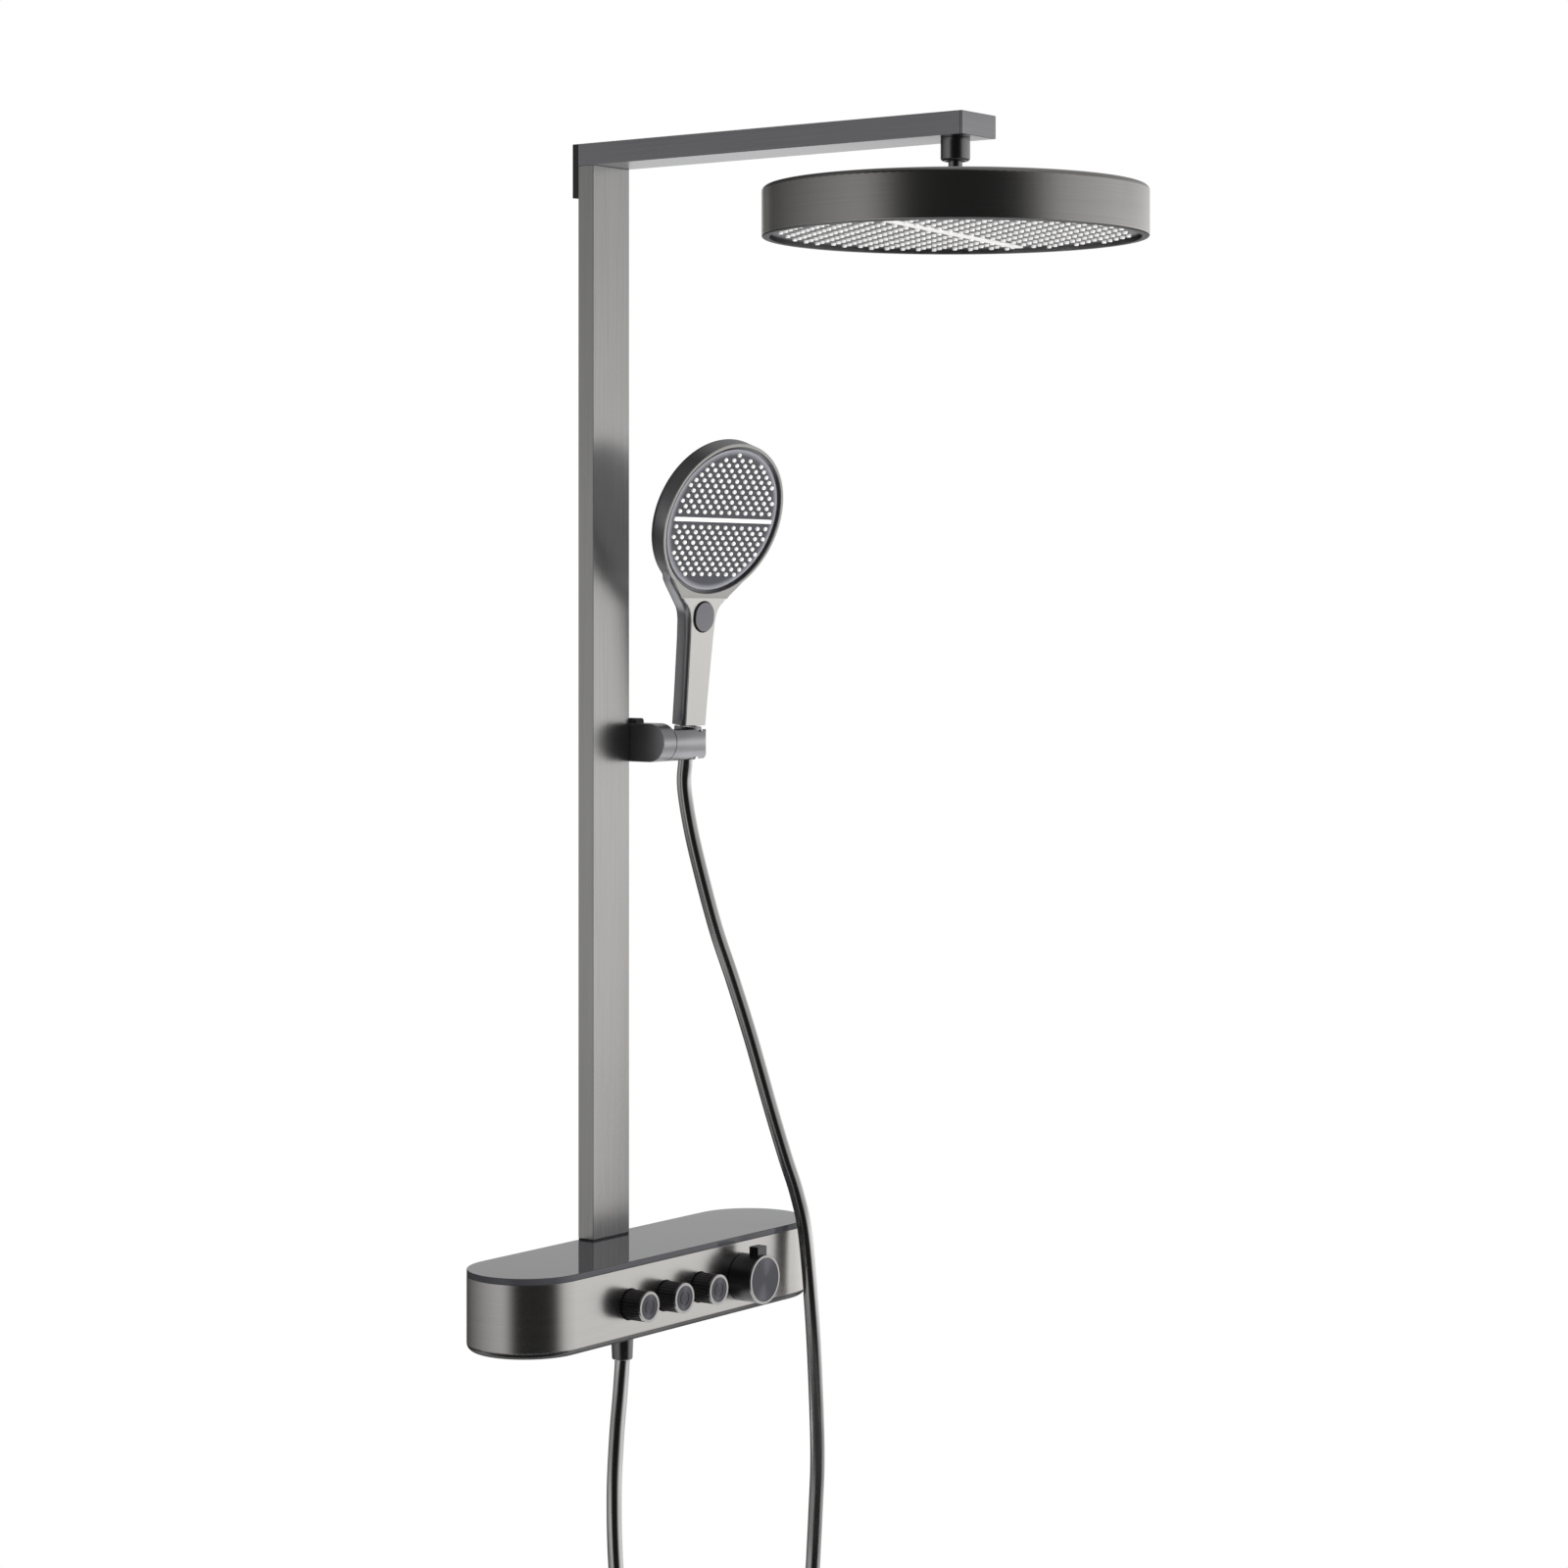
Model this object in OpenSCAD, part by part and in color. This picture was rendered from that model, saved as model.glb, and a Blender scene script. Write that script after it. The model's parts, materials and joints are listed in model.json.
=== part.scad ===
// Rainfall shower column: a wall-held thermostatic shelf, a flat riser column,
// an overhead arm with a round drum head, and a sliding, tilting hand shower.
// Millimetres. +X right along the wall, +Y into the wall, +Z up.
// Origin: on the wall plane, midway between the hot and cold inlets.

/* [Column and arm] */
// Width of the column and of the arm
column_w = 47; // [40:1:60]
// Depth of the column, front to back
column_d = 16; // [14:1:22]
// Height of the column from the shelf top to the underside of the arm
column_h = 886; // [860:1:1000]
// Height of the arm's section
arm_h = 18; // [16:1:24]
// Reach of the arm from the back of the column to its tip
arm_reach = 382; // [375:1:420]
// Distance of the overhead shower's centre from the back of the column
head_reach = 360; // [340:1:365]
// Wall thickness of the column and arm tubes
tube_wall = 1.5; // [1.2:0.1:2]

/* [Shelf] */
// Length of the shelf
shelf_w = 384; // [370:1:420]
// Depth of the shelf, front to back
shelf_d = 98; // [96:1:104]
// Height of the shelf, glass included
shelf_h = 64; // [62:1:70]
// Thickness of the glass top
glass_t = 5; // [4:0.5:6]
// Radius of the shell's lower edge
shelf_edge_r = 6; // [3:0.5:10]
// Gap between the shelf's back and the wall
wall_gap = 6; // [5:0.5:10]
// Spacing of the hot and cold inlets
inlet_pitch = 150; // [150:1:153]

/* [Controls] */
// Diameter of a flow knob
flow_knob_d = 24.5; // [20:0.5:26]
// Length of a flow knob in front of the shelf
flow_knob_l = 20; // [16:1:24]
// Spacing of the flow knobs
flow_pitch = 45; // [42:1:48]
// Place of the first flow knob along the shelf
first_flow_x = -76; // [-80:1:-74]
// Number of grip ribs around a flow knob
flow_ribs = 30; // [18:1:36]
// Diameter of the temperature knob
temperature_knob_d = 40; // [34:1:44]
// Length of the temperature knob in front of the shelf
temperature_knob_l = 24; // [20:1:28]
// Place of the temperature knob along the shelf
temperature_x = 71; // [68:1:76]

/* [Overhead shower] */
// Diameter of the overhead shower
head_d = 300; // [280:5:300]
// Height of the overhead shower's drum
head_h = 39; // [36:1:44]
// Spacing of neighbouring nozzles
head_nozzle_pitch = 13.5; // [13:0.5:20]
// Height of the gap between the arm and the drum
head_drop = 38; // [38:1:44]
// Turn of the drum's nozzle pattern about the vertical at rest
head_turn = 10; // [0:1:45]

/* [Hand shower and holder] */
// Height of the holder's pivot above the shelf top
holder_z = 409; // [300:1:600]
// Diameter of the hand shower's face
face_d = 134; // [120:1:136]
// Thickness of the hand shower's face
face_t = 20; // [18:0.5:22]
// Angle between the face and the handle
face_angle = 13.8; // [10:0.1:16]
// Forward lean of the handle at rest
handle_lean = 5.3; // [3:0.1:8]
// Turn of the hand shower towards the left at rest
handle_turn = 7; // [0:1:10]
// Spacing of nozzles along a row of the hand shower
face_nozzle_pitch = 9.6; // [9:0.2:12]
// Outer diameter of the hose
hose_d = 12.5; // [12:0.5:13]

/* [Hidden] */
$fn = 64;

// Levels and planes that the pieces share
back_y = -wall_gap;
shelf_mid_y = back_y - shelf_d / 2;
shelf_front_y = back_y - shelf_d;
shelf_top_z = 34;
shelf_bottom_z = shelf_top_z - shelf_h;
glass_bottom_z = shelf_top_z - glass_t;
shell_t = 2;
column_mid_y = back_y - column_d / 2;
arm_bottom_z = shelf_top_z + column_h;
arm_top_z = arm_bottom_z + arm_h;
arm_mid_z = arm_bottom_z + arm_h / 2;
gasket_t = 1;
seat_gap = 0.3;         // clearance between pieces that move past one another
running = 0.05;         // radial clearance of a shaft in its bore

// Controls
bar_y = shelf_mid_y + 8;
bar_r = 19;
flow_knob_in = 5;       // how far a flow knob reaches into the shell
flow_knob_back = shelf_front_y + flow_knob_in;
stem_r = 4;
spindle_depth = 8;      // how far from a cartridge's back its spindle bore starts
stem_start_y = bar_y - 16;
flow_stem_l = 45;
temperature_stem_l = 55;
cartridge_r = 11;
mixer_r = 14;           // radius of the thermostatic cartridge
cartridge_y = bar_y - 6;
cap_recess = 1;
flow_cap_r = flow_knob_d / 2 - 2.3;
temperature_cap_r = temperature_knob_d / 2 - 2.1;
temperature_gap = 0.5;
stud_r = 10.4;
stud_l = 15;
inlet_r = 12;           // radius of the valve's inlet bosses and union flanges
inlet_face_y = back_y - 15;
union_neck_r = 11.5;
riser_r = 4.5;
riser_bore = 3.6;
riser_y = column_mid_y;
riser_top_z = arm_bottom_z - 4;
riser_port_z = 8;
riser_port_h = 14;
riser_port_r = 10;
foot_spigot_r = 6;
foot_neck_w = 30;
foot_neck_d = 8;
foot_top_z = 62;
foot_socket = 7;        // how far the riser goes into the foot

// Hose outlet under the shelf
outlet_x = -26;
outlet_y = -55;
outlet_boss_z = shelf_bottom_z + 5;
lower_nut_z = shelf_bottom_z - 28;
lower_nut_h = 25;
nipple_r = 8;
nut_tip_r = 8.5;

// Arm and bracket
cap_t = 2;
bracket_h = 44.5;
bracket_hole_x = 14;
bracket_hole_z = arm_bottom_z - 15;
bracket_hole_r = 2.6;
grub_y = [-22, -14];
grub_r = 2;
elbow_r = 6;
elbow_end_y = -42;

// Overhead shower
head_y = back_y - head_reach;
head_r = head_d / 2;
head_top_z = arm_bottom_z - head_drop;
head_bottom_z = head_top_z - head_h;
head_wall = 2;
head_lip = 6;
plate_recess = 3.5;
plate_t = 2;
plate_z = head_bottom_z + plate_recess;
plate_r = head_r - head_lip - 0.1;
tail_r = 8;
ledge_w = 10;           // ledge inside the drum that the plate lies against
ledge_t = 3;
strip_l = 252;
strip_w = 9;
collar_r = 11.5;
collar_h = 18;
collar_floor = 2;
seat_low_z = arm_bottom_z - collar_h + collar_floor + 0.2;
seat_r = 10;
seat_h = 10.3;
spigot_r = 8;
spigot_in = 2.2;        // how far the water spigot enters the collar
ball_r = 8;
ball_z = arm_bottom_z - 10.5;
neck_r = 5.5;

// Holder, cradle and hand shower
holder_r = 16;
pivot_y = -42.5;
pivot_z = shelf_top_z + holder_z;
holder_x0 = column_w / 2 + 0.5;
holder_x1 = 41.4;
cradle_x0 = holder_x1 + 0.4;
grip_x = 75;
cradle_flat = 9.8;
slot_w = 5.6;
track_low = 120;
track_high = 860;
pivot_r = 3;
screw_head_r = 5.2;
screw_head_x = 56;      // where the screw's head seats in the cradle
screw_in = 3;           // floor of the screw's hole in the holder
holder_back = 34;
tab = [10, 14, 8.5];
tab_x = 2;
tab_y = 15;
liner_t = 1.2;
socket_low = -12;
socket_h = 20;
hose_r = hose_d / 2;
socket_top_r = 11.8;
socket_tip_r = 9.4;
face_r = face_d / 2;
face_along = 187.7;      // face centre along the handle, from the pivot
face_ahead = 25.2;       // face centre in front of the handle's axis
flare_w = 26.3;          // half width of the front where the handle meets the face
handle_foot = 14;
handle_half_d = 9;
front_t = 1.5;
ring_w = 2.4;
groove_w = 3;           // gap between the face ring and the spray plate
spray_z = -5;
spray_t = 2.8;
spray_r = face_r - ring_w - groove_w;
button_along = 105.7;
button_gap = 0.8;
button_bottom_y = -1;

// Half widths of the handle along its length: [place, half width, forward shift]
HANDLE = [
    [14, 13.5, 0], [40, 14, 0], [66, 14.8, 0], [88, 15.6, 0], [102, 16.6, 0], [108, 17.9, 0],
    [112, 19.6, 0], [115.5, 22.4, 0.1], [118, 24.9, 0.5], [124, 30.8, 1.7], [130, 37.2, 3.3],
    [136, 43, 4.9], [141, 47.5, 6.2]
];

// Route of the hose, from the shelf outlet down, round and up into the cradle
HOSE_ROUTE = [
    [-26, -55, -44], [-26, -55, -60], [-30, -56, -86], [-37, -58, -120], [-45, -62, -165],
    [-49, -67, -220], [-47, -73, -290], [-36, -80, -368], [-10, -88, -438], [30, -95, -480],
    [75, -100, -487], [118, -103, -458], [146, -105, -398], [160, -106, -330],
    [164, -105, -262], [164, -110, -214], [162, -115, -166], [154.5, -118.5, -107],
    [147, -120, -41], [143, -117, 26], [140, -112, 59], [134, -105, 92], [127, -95, 133],
    [117, -82, 191], [106, -71, 241], [95, -62, 283], [86, -53, 330], [80, -46, 370],
    [76, -41, 405], [75, -40.9, 426], [75, -42.5, 443], [75, -43.6, 455]
];
HOSE_SIDES = 10;
HOSE_STEPS = 2;

// ---------------------------------------------------------------- shared shapes

// Plan of the shelf: a slab between two half discs.
module stadium(w, d) {
    square([w - d, d], center = true);
    for (side = [-1, 1]) translate([side * (w - d) / 2, 0]) circle(d = d);
}

// Inside of a rectangular tube whose second outer size is d.
function tube_inside(d) = [column_w - 2 * tube_wall, d - 2 * tube_wall];

// Half of an upright section whose lower outer corner is rounded.
module half_section(half, h, r) {
    translate([0, r]) square([half, h - r]);
    square([half - r, h]);
    translate([half - r, r]) circle(r);
}

// Stadium-shaped bowl blank with a rounded lower edge, standing on z = 0.
module stadium_blank(w, d, h, r) {
    for (side = [-1, 1]) translate([side * (w - d) / 2, 0, 0])
        rotate_extrude() intersection() {
            half_section(d / 2, h, r);
            square([d, h]);
        }
    rotate([90, 0, 90]) linear_extrude(w - d, center = true)
        for (side = [0, 1]) mirror([side, 0]) half_section(d / 2, h, r);
}

// Rod that runs from here towards the viewer, along -Y.
module rod_y(r, l) {
    rotate([90, 0, 0]) cylinder(r = r, h = l);
}

module ring(outer, inner, h) {
    difference() {
        cylinder(r = outer, h = h);
        translate([0, 0, -1]) cylinder(r = inner, h = h + 2);
    }
}

// Hexagon with chamfered corners, across flats af.
module hex_nut(af, bore, h) {
    difference() {
        intersection() {
            cylinder(r = af / 2 / cos(30), h = h, $fn = 6);
            cylinder(r1 = af / 2 + 0.6, r2 = af / 2 + 0.6 + h, h = h);
            cylinder(r1 = af / 2 + 0.6 + h, r2 = af / 2 + 0.6, h = h);
        }
        translate([0, 0, -1]) cylinder(r = bore, h = h + 2);
    }
}

// Hand shower frame: origin on the pivot, +Z along the handle.
module handset_place() {
    grip_place() rotate([0, 0, -handle_turn]) children();
}

// Grip frame: origin on the pivot, +Z up the leaning handle's axis.
module grip_place() {
    translate([grip_x, pivot_y, pivot_z]) rotate([handle_lean, 0, 0]) children();
}

// Face frame inside the hand shower frame: +Z out of the face.
module face_place() {
    translate([0, -face_ahead, face_along]) rotate([90 + face_angle, 0, 0]) children();
}

// ---------------------------------------------------------------- shelf

// Brushed shell under the glass, with the openings that its fittings pass through.
module shelf_shell() {
    stem_gap = 5;
    inlet_hole_r = 19;
    outlet_hole_r = 13;
    riser_gap = 2;
    color("#8f8d8a") difference() {
        translate([0, shelf_mid_y, shelf_bottom_z])
            stadium_blank(shelf_w, shelf_d, glass_bottom_z - shelf_bottom_z, shelf_edge_r);
        translate([0, shelf_mid_y, shelf_bottom_z + shell_t])
            stadium_blank(shelf_w - 2 * shell_t, shelf_d - 2 * shell_t, shelf_h, shelf_edge_r - shell_t);
        for (i = [1:3]) translate([flow_x(i), shelf_front_y + 10, 0])
            rod_y(flow_knob_d / 2 + 0.4, 20);
        translate([temperature_x, shelf_front_y + 10, 0]) rod_y(stem_r + stem_gap, 20);
        for (side = [-1, 1]) translate([side * inlet_pitch / 2, back_y + 10, 0])
            rod_y(inlet_hole_r, 20);
        translate([0, back_y + 10, riser_port_z + riser_port_h / 2])
            rod_y(riser_port_r + riser_gap, 20);
        translate([outlet_x, outlet_y, shelf_bottom_z - 1]) cylinder(r = outlet_hole_r, h = 10);
    }
}

// Glass top with the slot that the column's foot passes through.
module shelf_glass() {
    color("#77777b") difference() {
        translate([0, shelf_mid_y, glass_bottom_z]) linear_extrude(glass_t) stadium(shelf_w, shelf_d);
        translate([0, column_mid_y, glass_bottom_z - 1]) linear_extrude(glass_t + 2)
            square([foot_neck_w + 2, foot_neck_d + 1], center = true);
    }
}

// Moulded tray that carries the glass from inside the shell.
module glass_tray() {
    tray_t = 3;
    fit_gap = 0.4;
    rim_w = 22;
    end_w = 30;
    inner_w = shelf_w - 2 * shell_t - fit_gap;
    inner_d = shelf_d - 2 * shell_t - fit_gap;
    color("#3a3a3c") difference() {
        translate([0, shelf_mid_y, glass_bottom_z - tray_t]) linear_extrude(tray_t)
            stadium(inner_w, inner_d);
        translate([0, shelf_mid_y, glass_bottom_z - tray_t - 1]) linear_extrude(tray_t + 2)
            stadium(inner_w - 2 * end_w, inner_d - 2 * rim_w);
        translate([0, column_mid_y, glass_bottom_z - tray_t - 1]) linear_extrude(tray_t + 2)
            square([foot_neck_w + 6, column_d + 6], center = true);
    }
}

// ---------------------------------------------------------------- valve and water supply

// Cartridge whose flange lies against the end of its port.
module cartridge(r, to_flange) {
    flange_w = 3;
    flange_t = 5;
    nose = 1;
    color("#d8d4c8") difference() {
        union() {
            rod_y(r - running, to_flange + flange_t + nose);
            translate([0, -to_flange, 0]) rod_y(r + flange_w, flange_t);
        }
        translate([0, -spindle_depth, 0]) rod_y(stem_r + running, to_flange + flange_t);
    }
}

function flow_x(i) = first_flow_x + (i - 1) * flow_pitch;

// Brass thermostatic bar: three flow ports, the mixer port, two inlets,
// the riser's port on top and the hose outlet below.
module valve_body() {
    bar_l = 2 * (temperature_x + 34);
    port_l = 30;
    mixer_port_l = 34;
    port_wall = 4;
    inlet_bore = 7;
    outlet_r = 12;
    color("#b79a5b") difference() {
        union() {
            translate([-bar_l / 2, bar_y, 0]) rotate([0, 90, 0]) cylinder(r = bar_r, h = bar_l);
            for (i = [1:3]) translate([flow_x(i), bar_y, 0]) rod_y(cartridge_r + port_wall, port_l);
            translate([temperature_x, bar_y, 0]) rod_y(mixer_r + port_wall, mixer_port_l);
            for (side = [-1, 1]) translate([side * inlet_pitch / 2, inlet_face_y, 0])
                rod_y(inlet_r, 20);
            translate([0, riser_y, riser_port_z]) rod_y(riser_port_r, 30);
            translate([0, riser_y, riser_port_z]) cylinder(r = riser_port_r, h = riser_port_h);
            translate([outlet_x, outlet_y, outlet_boss_z]) cylinder(r = outlet_r, h = 20);
        }
        for (i = [1:3]) translate([flow_x(i), cartridge_y, 0]) rod_y(cartridge_r, 2 * port_l);
        translate([temperature_x, cartridge_y, 0]) rod_y(mixer_r, 2 * mixer_port_l);
        for (side = [-1, 1]) translate([side * inlet_pitch / 2, back_y, 0]) rod_y(inlet_bore, 40);
        translate([0, riser_y, riser_port_z]) cylinder(r = foot_spigot_r + running, h = riser_port_h + 1);
        translate([outlet_x, outlet_y, outlet_boss_z - 1]) cylinder(r = nipple_r, h = 16);
    }
}

// Ceramic flow cartridge with the bore for its spindle.
module flow_cartridge(i) {
    translate([flow_x(i), cartridge_y, 0]) cartridge(cartridge_r, 24);
}

// Thermostatic mixing cartridge, a size larger than the flow cartridges.
module thermostatic_cartridge() {
    translate([temperature_x, cartridge_y, 0]) cartridge(mixer_r, 28);
}

// Unions that screw into the wall's hot and cold fittings, each with a strainer plate.
module inlet_unions() {
    flange_t = 7;
    bore = 7.5;
    strainer_t = 3;
    strainer_y = (stud_l + strainer_t) / 2;
    waterways = 6;
    color("#c9c7c2") for (side = [-1, 1]) translate([side * inlet_pitch / 2, 0, 0]) difference() {
        union() {
            translate([0, stud_l, 0]) rod_y(stud_r, stud_l);
            rod_y(union_neck_r, -inlet_face_y);
            translate([0, inlet_face_y + flange_t, 0]) rod_y(inlet_r, flange_t);
        }
        translate([0, stud_l + 1, 0]) rod_y(bore, stud_l + 1 - strainer_y);
        translate([0, strainer_y - strainer_t, 0]) rod_y(bore, stud_l - inlet_face_y);
        for (k = [1:waterways]) rotate([0, k * 360 / waterways, 0])
            translate([bore - 2.8, strainer_y + 1, 0]) rod_y(1.8, strainer_t + 2);
    }
}

// Hexagonal union nuts that pull the valve onto the wall unions.
module union_nuts() {
    across_flats = 30;
    nut_l = 16;
    lip = 3;
    color("#c9c7c2") for (side = [-1, 1])
        translate([side * inlet_pitch / 2, back_y - lip, 0]) rotate([90, 0, 0]) difference() {
            hex_nut(across_flats, union_neck_r + 0.1, nut_l);
            translate([0, 0, lip]) cylinder(r = inlet_r + running, h = nut_l);
        }
}

// Escutcheons that hide the wall fittings behind the shelf.
module wall_flanges() {
    flange_r = 27;
    color("#8f8d8a") for (side = [-1, 1]) translate([side * inlet_pitch / 2, 0, 0])
        rotate([90, 0, 0]) ring(flange_r, union_neck_r + 0.1, wall_gap - 1);
}

// Nipple screwed into the valve, with the collar that the hose nut meets.
module hose_outlet_nipple() {
    collar_outer = 10.3;
    nut_top_z = lower_nut_z + lower_nut_h;
    color("#c9c7c2") translate([outlet_x, outlet_y, 0]) difference() {
        union() {
            translate([0, 0, outlet_boss_z]) cylinder(r = nipple_r - running, h = 12);
            translate([0, 0, nut_top_z]) cylinder(r = collar_outer, h = outlet_boss_z - nut_top_z);
        }
        translate([0, 0, nut_top_z - 1]) cylinder(r = hose_r, h = 40);
    }
}

// Tapered nut that holds the hose on the outlet.
module lower_hose_nut() {
    bore = hose_r + 0.6;
    skirt_r = 10.6;
    skirt_z = lower_nut_h - 1;
    color("#9b9996") translate([outlet_x, outlet_y, lower_nut_z]) rotate_extrude() polygon([
        [bore, 0], [nut_tip_r - 0.6, 0], [nut_tip_r, 1], [nut_tip_r + 0.5, lower_nut_h / 2],
        [nut_tip_r + 1, skirt_z - 1], [skirt_r, skirt_z], [skirt_r, lower_nut_h],
        [bore, lower_nut_h]
    ]);
}

// ---------------------------------------------------------------- hose

// Point on a smooth curve through the route, at parameter u from 0 to len - 1.
function route_point(route, u) =
    let (last = len(route) - 1, i = min(floor(u), last - 1), t = u - i,
         a = route[max(i - 1, 0)], b = route[i], c = route[i + 1], d = route[min(i + 2, last)])
    0.5 * ((2 * b) + (c - a) * t + (2 * a - 5 * b + 4 * c - d) * t * t
           + (3 * b - a - 3 * c + d) * t * t * t);

function unit(v) = v / norm(v);

// Ring of points around the route at each station, square to it.
function hose_rings(route, count, r) = [
    for (k = [0:count])
        let (u = k * (len(route) - 1) / count, step = 0.05,
             here = route_point(route, u),
             along = unit(route_point(route, min(u + step, len(route) - 1))
                          - route_point(route, max(u - step, 0))),
             side = unit(cross(along, [0, 1, 0])), rise = cross(side, along))
        [for (j = [0:HOSE_SIDES - 1])
            here + r * (cos(j * 360 / HOSE_SIDES) * side + sin(j * 360 / HOSE_SIDES) * rise)]
];

module hose() {
    count = HOSE_STEPS * (len(HOSE_ROUTE) - 1);
    rings = hose_rings(HOSE_ROUTE, count, hose_r);
    points = [for (one = rings) each one];
    walls = [for (k = [0:count - 1]) for (j = [0:HOSE_SIDES - 1])
        let (n = (j + 1) % HOSE_SIDES, a = k * HOSE_SIDES, b = a + HOSE_SIDES)
        [a + j, b + j, b + n, a + n]];
    color("#8a8886") polyhedron(points, concat(
        [[for (j = [0:HOSE_SIDES - 1]) j]], walls,
        [[for (j = [HOSE_SIDES - 1:-1:0]) count * HOSE_SIDES + j]]));
}

// ---------------------------------------------------------------- column and arm

// Rectangular tube, standing along z, with the slider's track in its right side.
module column_tube() {
    low = shelf_top_z + gasket_t;
    h = arm_bottom_z - low;
    track_w = slot_w + 2 * seat_gap;
    color("#6f6f71") translate([0, column_mid_y, low]) difference() {
        linear_extrude(h) square([column_w, column_d], center = true);
        translate([0, 0, -1]) linear_extrude(h + 2) square(tube_inside(column_d), center = true);
        translate([column_w / 2 - 2 * tube_wall, -track_w / 2, track_low - low])
            cube([4 * tube_wall, track_w, track_high - track_low]);
    }
}

module column_gasket() {
    color("#1c1c1e") translate([0, column_mid_y, shelf_top_z]) linear_extrude(gasket_t) difference() {
        square([column_w - 0.6, column_d - 0.6], center = true);
        square([foot_neck_w + 2, foot_neck_d + 1], center = true);
    }
}

// Brass foot: its neck passes through the glass, its block fills the column
// and its spigot seals the riser to the valve.
module column_foot() {
    spigot_l = 8;
    block_z = shelf_top_z + gasket_t + 1;
    shoulder_z = riser_port_z + riser_port_h;
    color("#b79a5b") translate([0, riser_y, 0]) difference() {
        union() {
            translate([0, 0, shoulder_z - spigot_l]) cylinder(r = foot_spigot_r, h = spigot_l + 1);
            translate([0, 0, shoulder_z]) linear_extrude(block_z - shoulder_z)
                square([foot_neck_w, foot_neck_d], center = true);
            translate([0, 0, block_z]) linear_extrude(foot_top_z - block_z)
                offset(delta = -0.1) square(tube_inside(column_d), center = true);
        }
        cylinder(r = riser_bore, h = foot_top_z + 1);
        translate([0, 0, foot_top_z - foot_socket]) cylinder(r = riser_r + running, h = foot_socket + 1);
    }
}

module riser_tube() {
    low = foot_top_z - foot_socket;
    color("#c08457") translate([0, riser_y, low]) ring(riser_r, riser_bore, riser_top_z - low);
}

// Black bracket behind the column's head; the arm slides over its lug.
module wall_bracket() {
    plate_t = wall_gap - 0.2;
    lug_w = 38;
    lug_l = 22;
    lug_t = 2.5;
    side_t = 3.5;
    lug_gap = 0.5;
    low_lug_z = arm_bottom_z + tube_wall + lug_gap;
    high_lug_z = arm_top_z - tube_wall - lug_gap - lug_t;
    color("#1b1b1d") difference() {
        union() {
            translate([-column_w / 2, -plate_t, arm_top_z - bracket_h])
                cube([column_w, plate_t, bracket_h]);
            for (z = [low_lug_z, high_lug_z])
                translate([-lug_w / 2, back_y + 2 - lug_l, z]) cube([lug_w, lug_l, lug_t]);
            translate([17, back_y + 2 - lug_l, low_lug_z])
                cube([side_t, lug_l, high_lug_z + lug_t - low_lug_z]);
        }
        for (side = [-1, 1]) translate([side * bracket_hole_x, 1, bracket_hole_z])
            rod_y(bracket_hole_r, wall_gap + 2);
        for (y = grub_y) translate([10, y, arm_mid_z]) rotate([0, 90, 0])
            cylinder(r = grub_r, h = 20);
        translate([0, riser_y, low_lug_z - 1]) cylinder(r = elbow_r + 1, h = lug_t + 2);
    }
}

// Grub screws through the arm's right side that clamp it to the lug.
module arm_grub_screws() {
    l = 6;
    socket_r = 1;
    color("#2a2a2c") for (y = grub_y) translate([column_w / 2 - 0.3 - l, y, arm_mid_z])
        rotate([0, 90, 0]) difference() {
            cylinder(r = grub_r - running, h = l);
            translate([0, 0, l - 2]) cylinder(r = socket_r, h = 3, $fn = 6);
        }
}

// Flat rectangular arm, open at the back for the bracket's lug.
module arm_tube() {
    l = arm_reach - cap_t;
    color("#5f5f63") difference() {
        translate([0, back_y, arm_mid_z]) rotate([90, 0, 0]) linear_extrude(l)
            square([column_w, arm_h], center = true);
        translate([0, back_y + 1, arm_mid_z]) rotate([90, 0, 0]) linear_extrude(l + 2)
            square(tube_inside(arm_h), center = true);
        translate([0, column_mid_y, arm_bottom_z - 1]) linear_extrude(tube_wall + 2)
            square([34, column_d - 2 * tube_wall], center = true);
        translate([0, head_y, arm_bottom_z - 1]) cylinder(r = spigot_r + 0.2, h = tube_wall + 2);
        for (y = grub_y) translate([18, y, arm_mid_z]) rotate([0, 90, 0])
            cylinder(r = grub_r, h = 10);
    }
}

// End plate of the arm with the plug that holds it in the tube.
module arm_end_cap() {
    plug_l = 4;
    plug_wall = 3;
    color("#7d7d80") translate([0, back_y - arm_reach + cap_t, arm_mid_z]) rotate([90, 0, 0]) {
        linear_extrude(cap_t) square([column_w, arm_h], center = true);
        translate([0, 0, -plug_l]) linear_extrude(plug_l) difference() {
            offset(delta = -0.1) square(tube_inside(arm_h), center = true);
            offset(delta = -plug_wall) square(tube_inside(arm_h), center = true);
        }
    }
}

// Elbow that turns the water from the riser into the arm.
module arm_elbow() {
    low = riser_top_z - 6;
    outlet_l = -elbow_end_y + riser_y;
    outlet_r = 4.2;
    bore = 2.5;
    color("#b79a5b") translate([0, riser_y, 0]) difference() {
        union() {
            translate([0, 0, low]) cylinder(r = elbow_r, h = arm_mid_z - low);
            translate([0, 0, arm_mid_z]) sphere(r = outlet_r + 0.2);
            translate([0, 0, arm_mid_z]) rod_y(outlet_r, outlet_l);
        }
        translate([0, 0, low - 1]) cylinder(r = riser_r + running, h = riser_top_z - low + 1);
        translate([0, 0, low - 1]) cylinder(r = bore, h = arm_mid_z - low + 1);
        translate([0, 0, arm_mid_z]) rod_y(bore, outlet_l + 1);
    }
}

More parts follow.
